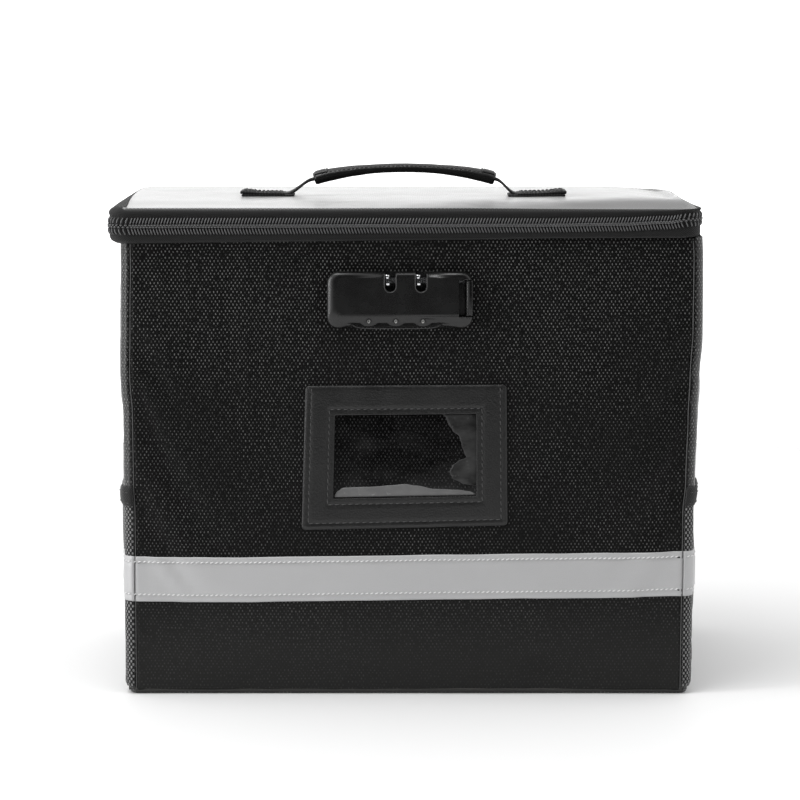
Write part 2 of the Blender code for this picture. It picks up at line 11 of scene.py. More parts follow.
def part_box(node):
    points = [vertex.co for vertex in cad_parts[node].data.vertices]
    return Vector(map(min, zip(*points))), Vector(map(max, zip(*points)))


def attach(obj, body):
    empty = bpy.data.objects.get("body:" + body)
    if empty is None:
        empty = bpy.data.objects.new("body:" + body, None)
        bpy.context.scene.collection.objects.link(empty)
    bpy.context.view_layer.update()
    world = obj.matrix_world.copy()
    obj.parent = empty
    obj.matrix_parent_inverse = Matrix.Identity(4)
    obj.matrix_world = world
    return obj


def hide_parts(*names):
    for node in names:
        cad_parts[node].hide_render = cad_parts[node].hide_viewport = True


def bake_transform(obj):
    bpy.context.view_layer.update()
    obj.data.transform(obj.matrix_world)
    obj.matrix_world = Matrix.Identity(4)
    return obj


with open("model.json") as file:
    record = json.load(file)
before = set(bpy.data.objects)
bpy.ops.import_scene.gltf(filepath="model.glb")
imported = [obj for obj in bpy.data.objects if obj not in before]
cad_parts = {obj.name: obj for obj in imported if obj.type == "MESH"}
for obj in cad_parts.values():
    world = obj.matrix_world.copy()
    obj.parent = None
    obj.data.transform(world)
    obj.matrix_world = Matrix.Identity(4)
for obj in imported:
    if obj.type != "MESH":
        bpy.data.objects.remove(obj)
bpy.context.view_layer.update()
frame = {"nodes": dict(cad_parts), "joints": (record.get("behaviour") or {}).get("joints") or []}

MM = 0.001

# ---- places read from the frame -------------------------------------------------------------
SIDE_LOW, SIDE_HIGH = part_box("side_right")
FRONT_LOW, FRONT_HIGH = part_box("panel_front")
HALF_X = SIDE_HIGH.x
HALF_Y = SIDE_HIGH.y
SEAM_X = FRONT_HIGH.x
CORNER = HALF_X - SEAM_X
BODY_TOP = FRONT_HIGH.z
LID_LOW, LID_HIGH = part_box("lid_cover")
LID_TOP = LID_HIGH.z
JOINTS = {j["name"]: j for j in frame["joints"]}
HINGE = Vector(JOINTS["lid_hinge"]["pos_m"])
TAPE_LOW, TAPE_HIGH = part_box("zip_tape_lower")
ZIP_REAR = TAPE_HIGH.y
BAND_INNER = 9 * MM
SKIRT_LOW = LID_LOW.z


# ---- small helpers ---------------------------------------------------------------------------
def smooth(t):
    t = min(max(t, 0.0), 1.0)
    return t * t * (3 - 2 * t)


def mix(a, b, t):
    return a + (b - a) * t


def bell(x, middle, width):
    """A bump that is 1 at its middle."""
    return math.exp(-((x - middle) / width) ** 2)


def between(table, x):
    """Smooth value of a table of (place, value) pairs."""
    if x <= table[0][0]:
        return table[0][1]
    for (a, va), (b, vb) in zip(table, table[1:]):
        if x <= b:
            return mix(va, vb, smooth((x - a) / (b - a)))
    return table[-1][1]


def spline(a, b, c, d, t):
    """A smooth curve from b to c, with a and d before and after."""
    return b + (c - a + (a * 2 - b * 5 + c * 4 - d + ((b - c) * 3 + d - a) * t) * t) * (t / 2)


def wobble(x, y, z, scale, seed=0.0):
    """Smooth noise from about -1 to 1."""
    return noise.noise(Vector((x * scale + seed, y * scale - seed, z * scale + 2 * seed)))


def mesh_piece(name, verts, faces, uvs=None, smooth_shade=True):
    """A mesh object from points and faces, with optional UVs per point in metres."""
    mesh = bpy.data.meshes.new(name)
    mesh.from_pydata([tuple(v) for v in verts], [], faces)
    if uvs:
        layer = mesh.uv_layers.new(name="metres")
        for loop in mesh.loops:
            layer.data[loop.index].uv = uvs[loop.vertex_index]
    mesh.update()
    if smooth_shade:
        mesh.shade_smooth()
    ob = bpy.data.objects.new(name, mesh)
    bpy.context.scene.collection.objects.link(ob)
    return ob


def finish_piece(ob, body, material, replaced=()):
    """Give a piece its material and body, and hide the CAD nodes that it stands for."""
    ob.data.materials.clear()
    ob.data.materials.append(MATERIALS[material])
    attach(ob, body)
    if replaced:
        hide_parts(*replaced)
    return ob


def bend_piece(ob, material, replaced):
    """Finish a piece that spans two bodies: give it its material, hide the CAD nodes that it stands
    for and bake its placement into its mesh.
    """
    ob.data.materials.append(MATERIALS[material])
    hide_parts(*replaced)
    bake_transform(ob)


def grid_faces(rows, cols, wrap=False):
    faces = []
    for r in range(rows - 1):
        for c in range(cols if wrap else cols - 1):
            d = (c + 1) % cols
            faces.append((r * cols + c, r * cols + d, (r + 1) * cols + d, (r + 1) * cols + c))
    return faces


def grid_piece(name, rows, wrap=False, flip=False, close=False):
    """A piece from rows of (point, UV) pairs; close fills its last row."""
    cols = len(rows[0])
    verts = [p for row in rows for p, uv in row]
    uvs = [uv for row in rows for p, uv in row]
    faces = grid_faces(len(rows), cols, wrap)
    if close:
        faces.append(tuple(range(len(verts) - cols, len(verts))))
    if flip:
        faces = [tuple(reversed(f)) for f in faces]
    return mesh_piece(name, verts, faces, uvs)


def capped(rows):
    """Points and faces of a closed form from rings of points."""
    sides = len(rows[0])
    verts = [p for row in rows for p in row]
    last = len(verts) - sides
    faces = [tuple(reversed(f)) for f in grid_faces(len(rows), sides, True)]
    faces.append(tuple(range(sides)))
    faces.append(tuple(reversed(range(last, last + sides))))
    return verts, faces


def tidy_normals(ob):
    bm = bmesh.new()
    bm.from_mesh(ob.data)
    bmesh.ops.recalc_face_normals(bm, faces=bm.faces)
    bm.to_mesh(ob.data)
    bm.free()


def apply_modifiers(ob):
    """Replace the object's mesh by its evaluated mesh."""
    bpy.context.view_layer.update()
    graph = bpy.context.evaluated_depsgraph_get()
    mesh = bpy.data.meshes.new_from_object(ob.evaluated_get(graph))
    ob.modifiers.clear()
    old = ob.data
    ob.data = mesh
    bpy.data.meshes.remove(old)
    return ob


def round_off(ob, levels=1):
    sub = ob.modifiers.new("smooth", "SUBSURF")
    sub.levels = levels
    sub.render_levels = levels


def thicken(ob, thickness, offset=-1.0, levels=0):
    mod = ob.modifiers.new("cloth thickness", "SOLIDIFY")
    mod.thickness = thickness
    mod.offset = offset
    mod.use_even_offset = True
    if levels:
        round_off(ob, levels)
    return apply_modifiers(ob)


def cloth_piece(name, rows, thick, body, slot, material, replaced=(), offset=-1.0, levels=0,
                **shape):
    """A finished sheet of cloth from rows of (point, UV) pairs."""
    ob = grid_piece(name, rows, **shape)
    thicken(ob, thick, offset, levels)
    return finish_piece(ob, body, material, replaced)


def slab(name, rows, under, soft=True):
    """A closed plate between two layers of points; a soft one is rounded off."""
    count, cols = len(rows), len(rows[0])
    verts = [Vector(p) for layer in (rows, under) for row in layer for p in row]
    low = count * cols
    faces = grid_faces(count, cols)
    faces += [tuple(low + i for i in reversed(f)) for f in grid_faces(count, cols)]
    rim = [(0, c) for c in range(cols)] + [(r, cols - 1) for r in range(1, count)]
    rim += [(count - 1, c) for c in range(cols - 2, -1, -1)]
    rim += [(r, 0) for r in range(count - 2, 0, -1)]
    for a, b in zip(rim, rim[1:] + rim[:1]):
        i, j = a[0] * cols + a[1], b[0] * cols + b[1]
        faces.append((i, j, low + j, low + i))
    ob = mesh_piece(name, verts, faces, [(v.x, v.y) for v in verts] if soft else None, soft)
    tidy_normals(ob)
    if soft:
        round_off(ob)
        apply_modifiers(ob)
    return ob


def below(rows, depth):
    """Rows of points under others, by a depth for each (row, column)."""
    return [[p - Vector((0, 0, depth(r, c))) for c, p in enumerate(row)]
            for r, row in enumerate(rows)]


def tube_data(points, radius, sides=6, up=Vector((0, 0, 1))):
    """Points and faces of a closed tube; radius is a number or a function of the share along."""
    rows = []
    last = len(points) - 1
    angles = [2 * math.pi * k / sides for k in range(sides)]
    for i, p in enumerate(points):
        way = (points[min(i + 1, last)] - points[max(i - 1, 0)]).normalized()
        side = way.cross(up)
        side = side.normalized() if side.length > 1e-6 else Vector((1, 0, 0))
        lift = side.cross(way).normalized()
        r = radius(i / last) if callable(radius) else radius
        rows.append([p + side * (r * math.cos(a)) + lift * (r * math.sin(a)) for a in angles])
    return capped(rows)


def joined(name, parts, uv=None):
    """One mesh object from several (points, faces) pairs."""
    verts, faces = [], []
    for part_verts, part_faces in parts:
        start = len(verts)
        verts += part_verts
        faces += [tuple(i + start for i in f) for f in part_faces]
    return mesh_piece(name, verts, faces, [uv(v) for v in verts] if uv else None)


def distances(points):
    """Distance along a polyline at each of its points."""
    marks = [0.0]
    for a, b in zip(points, points[1:]):
        marks.append(marks[-1] + (b - a).length)
    return marks


def resample(points, step):
    """Points at even steps along a polyline, with the direction at each."""
    points = [Vector(p) for p in points]
    lengths = [(b - a).length for a, b in zip(points, points[1:])]
    total = sum(lengths)
    count = max(int(round(total / step)), 1)
    found, k, done = [], 0, 0.0
    for i in range(count + 1):
        want = total * i / count
        while k < len(lengths) - 1 and done + lengths[k] < want:
            done += lengths[k]
            k += 1
        t = (want - done) / lengths[k] if lengths[k] else 0.0
        way = (points[k + 1] - points[k]).normalized()
        found.append((points[k].lerp(points[k + 1], min(max(t, 0), 1)), way))
    return found


def stitches(name, lines, normal, pitch=3.4 * MM, length=2.5 * MM, radius=0.32 * MM,
             body="bag", slant=0.0, material="thread"):
    """Rows of sewn stitches: short rounded threads that dip into the cloth at both ends."""
    parts = []
    for line in lines:
        for p, way in resample(line, pitch)[:-1]:
            out = normal(p) if callable(normal) else Vector(normal)
            across = out.cross(way).normalized()
            way = (way + across * slant).normalized()
            mid = p + way * (pitch / 2)
            path = []
            for t in (-0.5, -0.3, 0.0, 0.3, 0.5):
                dip = radius * (0.75 - 6.0 * t * t)
                path.append(mid + way * (length * t) + out * dip)
            parts.append(tube_data(path, lambda s: radius * (0.55 + 0.45 * math.sin(math.pi * s)),
                                   5, up=out))
    return finish_piece(joined(name, parts), body, material)


# ---- materials --------------------------------------------------------------------------------
# The outer cloth's weave: distances between raised crossings, and how far they wander
WEAVE = (2.43 * MM, 1.96 * MM, 1.3 * MM)


def grey(level):
    return (level, level, level)


class Nodes:
    """Short names for building a node tree; a material's unless another owner is given."""

    def __init__(self, name, owner=None, shader="Principled BSDF"):
        self.owner = owner or bpy.data.materials.new(name)
        self.owner.use_nodes = True
        self.tree = self.owner.node_tree
        self.shader = self.tree.nodes[shader]

    def node(self, kind, **settings):
        made = self.tree.nodes.new(kind)
        for key, value in settings.items():
            setattr(made, key, value)
        return made

    def put(self, value, socket):
        """Link a socket to an input, or set a number or colour on the input itself."""
        if isinstance(value, bpy.types.NodeSocket):
            self.tree.links.new(value, socket)
        elif isinstance(value, tuple):
            socket.default_value = (*value, 1.0)
        else:
            socket.default_value = value

    def math(self, operation, a, b=None):
        made = self.node("ShaderNodeMath", operation=operation)
        self.put(a, made.inputs[0])
        if b is not None:
            self.put(b, made.inputs[1])
        return made.outputs[0]

    def times(self, a, b):
        return self.math("MULTIPLY", a, b)

    def plus(self, a, b):
        return self.math("ADD", a, b)

    def minus(self, a, b):
        return self.math("SUBTRACT", a, b)

    def wave(self, value, pitch, kind="COSINE"):
        return self.math(kind, self.times(value, 2 * math.pi / pitch))

    def ramp(self, value, low, high, to_low=0.0, to_high=1.0):
        made = self.node("ShaderNodeMapRange", interpolation_type="SMOOTHSTEP")
        self.put(value, made.inputs["Value"])
        for key, number in (("From Min", low), ("From Max", high),
                            ("To Min", to_low), ("To Max", to_high)):
            made.inputs[key].default_value = number
        return made.outputs["Result"]

    def blend(self, share, a, b):
        made = self.node("ShaderNodeMix", data_type="RGBA")
        self.put(share, made.inputs[0])
        self.put(a, made.inputs[6])
        self.put(b, made.inputs[7])
        return made.outputs[2]

    def noise(self, where, scale, detail=2.0, rough=0.5, stretch=None):
        if stretch:
            moved = self.node("ShaderNodeMapping")
            self.put(where, moved.inputs["Vector"])
            moved.inputs["Scale"].default_value = stretch
            where = moved.outputs["Vector"]
        made = self.node("ShaderNodeTexNoise")
        for key, value in (("Vector", where), ("Scale", scale), ("Detail", detail),
                           ("Roughness", rough)):
            self.put(value, made.inputs[key])
        return made.outputs["Fac"]

    def cells(self, where, scale):
        made = self.node("ShaderNodeTexVoronoi")
        self.put(where, made.inputs["Vector"])
        self.put(scale, made.inputs["Scale"])
        return made.outputs["Distance"]

    def metres(self):
        """Cloth coordinates in metres, from the piece's UVs."""
        return self.node("ShaderNodeUVMap", uv_map="metres").outputs["UV"]

    def place(self):
        return self.node("ShaderNodeTexCoord").outputs["Object"]

    def split(self, vector):
        made = self.node("ShaderNodeSeparateXYZ")
        self.put(vector, made.inputs[0])
        return made.outputs

    def staggered(self, where, pitch_u, pitch_v, wander, wander_scale=60.0):
        """Staggered dots: 1 at a dot's middle, -1 between dots."""
        u, v, w = self.split(where)
        shift = self.minus(self.noise(where, wander_scale, 2.0), 0.5)
        v = self.plus(v, self.times(shift, wander))
        u = self.plus(u, self.times(shift, -wander))
        return self.times(self.wave(u, pitch_u), self.wave(v, 2 * pitch_v))

    def glint_strength(self, where):
        """How bright each crossing's painted glint is."""
        return self.ramp(self.noise(where, 470.0, 2.0, 0.7, (0.6, 1.0, 1.0)), 0.38, 0.62, 0.0, 1.7)

    def bump(self, height, distance, strength=1.0):
        made = self.node("ShaderNodeBump")
        for key, value in (("Height", height), ("Distance", distance), ("Strength", strength)):
            self.put(value, made.inputs[key])
        return made.outputs["Normal"]

    def finish(self, colour, roughness, normal=None, **numbers):
        numbers.update(Base_Color=colour, Roughness=roughness)
        if normal is not None:
            numbers["Normal"] = normal
        for key, value in numbers.items():
            self.put(value, self.shader.inputs[key.replace("_", " ")])
        return self.owner


def coated_fabric(name, dot_height, gloss, levels=None, sheen=0.0, coat=0.0, shine=0.12):
    """Black silicone-coated glass cloth: staggered raised yarn crossings under a soft coat, with
    painted highlights (glints) on the crossings.
    """
    n = Nodes(name)
    where = n.metres()
    dots = n.staggered(where, *WEAVE)
    crown = n.ramp(dots, 0.25, 0.92)
    patch = n.noise(where, 26.0, 3.0, 0.6)
    grit = n.noise(where, 1300.0, 3.0, 0.7)
    broad = n.ramp(n.noise(where, 15.0, 2.0, 0.6), 0.3, 0.7, 0.6, 1.3)
    painted_glint = n.times(crown, n.times(n.glint_strength(where), broad))
    height = n.plus(n.plus(n.times(painted_glint, 0.45), n.times(crown, 0.55)), n.times(grit, 0.30))
    height = n.times(height, n.ramp(patch, 0.25, 0.75, 0.6, 1.2))
    dark = n.blend(patch, grey(0.0012), (0.0045, 0.0045, 0.0043))
    # Painted light: glints and bumps fade towards the foot, the glints are painted brighter higher
    # up, and the colour is painted lighter towards the foot as the floor's bounced light.
    if levels:
        level = n.split(n.place())[2]
        fade = n.ramp(level, levels[0], levels[1], 0.22, 1.0)
        upper = n.ramp(level, levels[2], levels[3], 0.45, 1.0)
        painted_glint = n.times(n.times(painted_glint, fade), upper)
        height = n.times(height, fade)
        foot = n.ramp(level, levels[0], levels[1], 1.0, 0.0)
        dark = n.blend(foot, dark, (0.0165, 0.0165, 0.0160))
    # Painted highlights: the glints lighten the colour on the raised crossings.
    colour = n.blend(painted_glint, dark, (0.150, 0.150, 0.147))
    relief = n.bump(height, dot_height)
    return n.finish(colour, n.ramp(painted_glint, 0.0, 1.0, gloss + 0.12, gloss), relief,
                    Specular_IOR_Level=shine, Sheen_Weight=sheen, Sheen_Roughness=0.35,
                    Coat_Weight=coat, Coat_Roughness=0.22, Coat_Normal=relief)


def lid_fabric():
    """The same cloth seen on the lid, its raised crossings painted lighter as highlights: its
    silicone coat shines, less so where it rolls over.
    """
    n = Nodes("coated fabric lid")
    where = n.metres()
    dots = n.ramp(n.staggered(where, *WEAVE[:2], 1.2 * MM), -0.2, 0.9)
    patch = n.noise(where, 26.0, 3.0, 0.6)
    grit = n.noise(where, 1300.0, 3.0, 0.7)
    x, y, z = n.split(n.place())
    reach = n.minus(y, n.times(n.math("MAXIMUM", x, -0.06), 0.60))
    ragged = n.times(n.minus(n.noise(where, 60.0, 2.0), 0.5), 0.03)
    shine = n.ramp(n.plus(reach, ragged), -0.155, -0.070)
    level = n.times(shine, n.ramp(dots, 0.0, 1.0, 0.62, 0.95))
    level = n.times(level, n.ramp(patch, 0.2, 0.8, 0.85, 1.05))
    # Painted highlights: the raised crossings are painted lighter.
    colour = n.blend(dots, grey(0.004), (0.060, 0.060, 0.058))
    height = n.plus(n.times(dots, 0.7), n.times(grit, 0.3))
    relief = n.bump(height, 0.07 * MM)
    return n.finish(colour, 0.36, relief, Specular_IOR_Level=0.15, Coat_Weight=level,
                    Sheen_Weight=level, Sheen_Roughness=0.35, Coat_Roughness=0.22,
                    Coat_Normal=relief)


def reflective_tape():
    n = Nodes("reflective tape")
    where = n.metres()
    beads = n.noise(where, 2600.0, 2.0, 0.8)
    cloudy = n.noise(where, 22.0, 3.0, 0.6)
    ribs = n.wave(n.split(where)[0], 0.9 * MM, "SINE")
    height = n.plus(n.times(beads, 0.5), n.times(ribs, 0.10))
    colour = n.blend(cloudy, (0.40, 0.40, 0.405), (0.47, 0.47, 0.475))
    colour = n.blend(n.ramp(beads, 0.3, 0.7), colour, (0.50, 0.50, 0.505))
    return n.finish(colour, n.ramp(cloudy, 0.2, 0.8, 0.50, 0.38), n.bump(height, 0.05 * MM),
                    Metallic=0.15, Specular_IOR_Level=0.5)


def webbing(name, pitch, shade, sheen):
    """Woven tape: fine ribs across it and a slight yarn twist."""
    n = Nodes(name)
    where = n.metres()
    along, across, w = n.split(where)
    weave = n.times(n.wave(along, pitch), n.wave(across, pitch * 1.6))
    fibre = n.noise(where, 1700.0, 3.0, 0.7)
    height = n.plus(n.times(weave, 0.55), n.times(fibre, 0.6))
    colour = n.blend(n.ramp(weave, -0.4, 1.0), grey(shade * 0.45), grey(shade * 1.7))
    return n.finish(colour, n.ramp(fibre, 0.3, 0.7, 0.85, 0.62), n.bump(height, 0.22 * MM),
                    Specular_IOR_Level=0.35, Sheen_Weight=sheen, Sheen_Roughness=0.5)


def zip_tape_cloth():
    """Knitted zip tape: slanted rows of fine loops."""
    n = Nodes("zip tape")
    where = n.metres()
    parts = n.split(where)
    rows = n.wave(n.plus(parts[0], n.times(parts[1], 0.9)), 1.15 * MM)
    ribs = n.wave(parts[1], 0.8 * MM)
    fibre = n.noise(where, 1900.0, 3.0, 0.7)
    height = n.plus(n.times(rows, 0.5), n.times(ribs, 0.15))
    height = n.plus(height, n.times(fibre, 0.7))
    colour = n.blend(n.ramp(rows, -0.5, 1.0), grey(0.003), grey(0.016))
    return n.finish(colour, 0.75, n.bump(height, 0.20 * MM), Specular_IOR_Level=0.25,
                    Sheen_Weight=0.08, Sheen_Roughness=0.5)


def grained_leather(name, shade, rough, grain=900.0, depth=0.09 * MM):
    n = Nodes(name)
    where = n.place()
    pebble = n.cells(where, grain)
    fine = n.noise(where, grain * 2.6, 3.0, 0.65)
    slow = n.noise(where, 40.0, 3.0, 0.6)
    height = n.minus(n.times(fine, 0.5), n.times(pebble, 0.9))
    colour = n.blend(n.ramp(pebble, 0.15, 0.7), grey(shade * 1.25), grey(shade * 0.6))
    colour = n.blend(n.times(slow, 0.4), colour, grey(shade * 1.7))
    return n.finish(colour, n.ramp(slow, 0.25, 0.75, rough + 0.08, rough - 0.05),
                    n.bump(height, depth), Specular_IOR_Level=0.45)


def moulded_plastic(name, shade, rough, texture=0.05 * MM):
    n = Nodes(name)
    where = n.place()
    spark = n.noise(where, 3800.0, 2.0, 0.7)
    slow = n.noise(where, 55.0, 3.0, 0.6)
    scuff = n.ramp(n.noise(where, 210.0, 5.0, 0.75, (1.0, 1.0, 6.0)), 0.62, 0.80)
    colour = n.blend(slow, grey(shade * 0.85), grey(shade * 1.2))
    colour = n.blend(n.times(scuff, 0.25), colour, grey(shade * 4))
    even = n.ramp(slow, 0.2, 0.8, rough - 0.03, rough + 0.05)
    rough_now = n.plus(even, n.times(scuff, 0.12))
    return n.finish(colour, rough_now, n.bump(spark, texture), Specular_IOR_Level=0.5)


def metal(name, colour, rough, metallic=1.0):
    n = Nodes(name)
    where = n.place()
    slow = n.noise(where, 120.0, 3.0, 0.6)
    fine = n.noise(where, 2400.0, 2.0, 0.7)
    shade = n.blend(slow, tuple(c * 0.82 for c in colour), colour)
    return n.finish(shade, n.ramp(fine, 0.3, 0.7, rough - 0.04, rough + 0.07),
                    n.bump(fine, 0.02 * MM), Metallic=metallic)


def coil_plastic():
    n = Nodes("zip coil nylon")
    where = n.place()
    fine = n.noise(where, 900.0, 2.0, 0.6)
    colour = n.blend(fine, (0.030, 0.030, 0.031), (0.150, 0.150, 0.152))
    return n.finish(colour, n.ramp(fine, 0.3, 0.7, 0.34, 0.24), n.bump(fine, 0.05 * MM),
                    Specular_IOR_Level=0.6)


def clear_film():
    """Glossy film lying on the cloth; the weave under it is painted into its colour, darkened, with
    painted glints on its crossings.
    """
    n = Nodes("window film")
    where = n.metres()
    haze = n.noise(where, 26.0, 4.0, 0.6, (1.0, 2.2, 1.0))
    waves = n.noise(where, 70.0, 2.0, 0.5)
    dots = n.ramp(n.staggered(where, *WEAVE), 0.25, 0.92)
    painted_glint = n.times(dots, n.glint_strength(where))
    colour = n.blend(haze, grey(0.0010), grey(0.0022))
    # Painted highlights: the glints of the weave under the film.
    colour = n.blend(painted_glint, colour, grey(0.030))
    return n.finish(colour, n.ramp(haze, 0.35, 0.80, 0.12, 0.20), n.bump(waves, 0.2 * MM, 0.2),
                    Specular_IOR_Level=0.35)


def painted_film_reflection(name, dark, light):
    """Film turned up, its colour a painted reflection: a pale streak with fine creases painted
    lighter as highlights.
    """
    n = Nodes(name)
    where = n.metres()
    cloudy = n.noise(where, 60.0, 4.0, 0.6, (1.0, 1.6, 1.0))
    crease = n.ramp(n.noise(where, 220.0, 3.0, 0.6), 0.60, 0.72)
    colour = n.blend(n.ramp(cloudy, 0.3, 0.7), grey(dark), grey(light))
    # Painted highlights along the creases.
    colour = n.blend(crease, colour, grey(light * 1.5))
    return n.finish(colour, 0.28, n.bump(cloudy, 0.3 * MM, 0.5), Specular_IOR_Level=0.3)


def board_card():
    n = Nodes("stiffener board")
    where = n.place()
    fibre = n.noise(where, 500.0, 4.0, 0.7, (1.0, 3.0, 1.0))
    colour = n.blend(fibre, (0.035, 0.034, 0.032), (0.075, 0.073, 0.069))
    return n.finish(colour, 0.85, n.bump(fibre, 0.15 * MM))


def lining_cloth():
    """Silver-grey coated lining with a fine plain weave."""
    n = Nodes("lining cloth")
    where = n.metres()
    weave = n.staggered(where, 1.5 * MM, 0.75 * MM, 0.3 * MM, 40.0)
    cloudy = n.noise(where, 18.0, 3.0, 0.6)
    colour = n.blend(cloudy, (0.36, 0.365, 0.37), (0.46, 0.465, 0.47))
    colour = n.blend(n.ramp(weave, -0.6, 0.4, 0.45, 0.0), colour, (0.16, 0.16, 0.165))
    return n.finish(colour, n.ramp(cloudy, 0.2, 0.8, 0.36, 0.5), n.bump(weave, 0.1 * MM),
                    Metallic=0.25)


def mesh_cloth():
    """Coarse open net: dark holes between shiny knitted yarns."""
    n = Nodes("pocket net")
    where = n.metres()
    holes = n.staggered(where, 2.7 * MM, 1.9 * MM, 0.35 * MM, 70.0)
    hole = n.ramp(holes, -0.45, 0.05)
    yarn = n.noise(where, 1500.0, 3.0, 0.7)
    colour = n.blend(n.ramp(yarn, 0.3, 0.7), grey(0.06), grey(0.34))
    colour = n.blend(hole, colour, grey(0.002))
    height = n.minus(n.times(yarn, 0.35), hole)
    return n.finish(colour, n.ramp(hole, 0.0, 1.0, 0.45, 0.95), n.bump(height, 0.45 * MM),
                    Specular_IOR_Level=0.4, Sheen_Weight=0.15)


def numeral_paint():
    n = Nodes("numeral paint")
    wear = n.noise(n.place(), 2500.0, 2.0, 0.6)
    colour = n.blend(wear, (0.62, 0.62, 0.60), (0.82, 0.82, 0.80))
    return n.finish(colour, 0.45)


def thread(name, dark, light, rough=0.6):
    n = Nodes(name)
    twist = n.noise(n.place(), 1400.0, 2.0, 0.6)
    return n.finish(n.blend(twist, grey(dark), grey(light)), rough, n.bump(twist, 0.08 * MM),
                    Specular_IOR_Level=0.5)


MATERIALS = {
    # The front cloth's four heights place its painted light: glints fading and colour lightening
    # towards the foot, glints brighter higher up.
    "fabric": coated_fabric("coated fabric front", 0.42 * MM, 0.34, (0.02, 0.09, 0.17, 0.27)),
    "fabric_side": coated_fabric("coated fabric side", 0.16 * MM, 0.36, None, 0.30, 0.50, 0.3),
    "fabric_lid": lid_fabric(),
    "tape": reflective_tape(),
    "webbing": webbing("webbing", 1.9 * MM, 0.010, 0.10),
    "binding": webbing("elastic binding", 1.2 * MM, 0.010, 0.12),
    "zip_tape": zip_tape_cloth(),
    "coil": coil_plastic(),
    "leather": grained_leather("synthetic leather", 0.0085, 0.36, 900.0, 0.16 * MM),
    "grip": grained_leather("grip leather", 0.009, 0.26, 1300.0, 0.07 * MM),
    "lock": moulded_plastic("lock plastic", 0.0060, 0.25, 0.03 * MM),
    "dial": moulded_plastic("dial plastic", 0.008, 0.36),
    "black_metal": metal("black plated metal", (0.055, 0.055, 0.058), 0.30),
    "chrome": metal("chrome", (0.80, 0.81, 0.83), 0.12),
    "film": clear_film(),
    "film_bright": painted_film_reflection("window film curl painted reflection", 0.125, 0.155),
    "film_painted_dim_reflection": painted_film_reflection("window film crease painted reflection", 0.006, 0.036),
    "board": board_card(),
    "lining": lining_cloth(),
    "net": mesh_cloth(),
    "numeral": numeral_paint(),
    "thread": thread("thread", 0.018, 0.070, 0.5),
    "grey_thread": thread("grey thread", 0.62, 0.92),
    "bright_thread": thread("leather stitches", 0.012, 0.11),
    "seam_highlight_cord": thread("seam cord painted highlight", 0.03, 0.12),
    "lock_edge_highlight": moulded_plastic("lock edge painted highlight", 0.035, 0.25, 0.02 * MM),
}


# ---- camera, floor and light ------------------------------------------------------------------
CAMERA_PLACE = (-0.0038, -2.148, 0.4306)
CAMERA_DOWN = math.radians(6.77)
CAMERA_LENS = 144.7
FLOOR_RADIUS = 1.15
# name, place, size in metres and power in watts of each softbox; all aim at the bag
SOFTBOXES = (("overhead softbox", (-0.5, -0.5, 1.9), (1.1, 1.1), 16.0),
             ("left softbox", (-1.8, -0.8, 0.55), (0.3, 1.3), 13.0))


def add_object(name, data, place):
    ob = bpy.data.objects.new(name, data)
    ob.location = place
    bpy.context.scene.collection.objects.link(ob)
    return ob


def make_studio():
    scene = bpy.context.scene
    scene.view_settings.view_transform = "Standard"
    camera_data = bpy.data.cameras.new("camera")
    camera_data.lens = CAMERA_LENS
    camera_data.sensor_width = 36.0
    camera_data.clip_start = 0.05
    camera = add_object("camera", camera_data, CAMERA_PLACE)
    camera.rotation_euler = (math.radians(90) - CAMERA_DOWN, 0, 0)
    bpy.context.scene.camera = camera

    floor_mesh = bpy.data.meshes.new("floor")
    bm = bmesh.new()
    bmesh.ops.create_circle(bm, cap_ends=True, segments=96, radius=FLOOR_RADIUS)
    bm.to_mesh(floor_mesh)
    bm.free()
    n = Nodes("studio floor")
    colour = n.blend(n.noise(n.place(), 2.0, 2.0), grey(0.86), grey(0.88))
    floor_mesh.materials.append(n.finish(colour, 0.6, Specular_IOR_Level=0.2))
    add_object("floor", floor_mesh, (0, 0, -0.0005))

    # A dark room that is brighter behind the bag, so that its top and edges catch light
    scene.world = bpy.data.worlds.new("studio")
    n = Nodes("studio", scene.world, "Background")
    ahead = n.split(n.node("ShaderNodeTexCoord").outputs["Generated"])[1]
    strength = n.plus(n.ramp(ahead, -0.96, -0.42, 0.02, 1.05), n.ramp(ahead, 0.88, 0.985, 0.0, 0.75))
    n.put(strength, n.shader.inputs["Strength"])
    n.put(grey(1.0), n.shader.inputs["Color"])

    for name, place, size, power in SOFTBOXES:
        light = bpy.data.lights.new(name, "AREA")
        light.shape = "RECTANGLE"
        light.size, light.size_y = size
        light.energy = power
        aim = Vector((0, 0, 0.2)) - Vector(place)
        add_object(name, light, place).rotation_euler = aim.to_track_quat("-Z", "Y").to_euler()


make_studio()


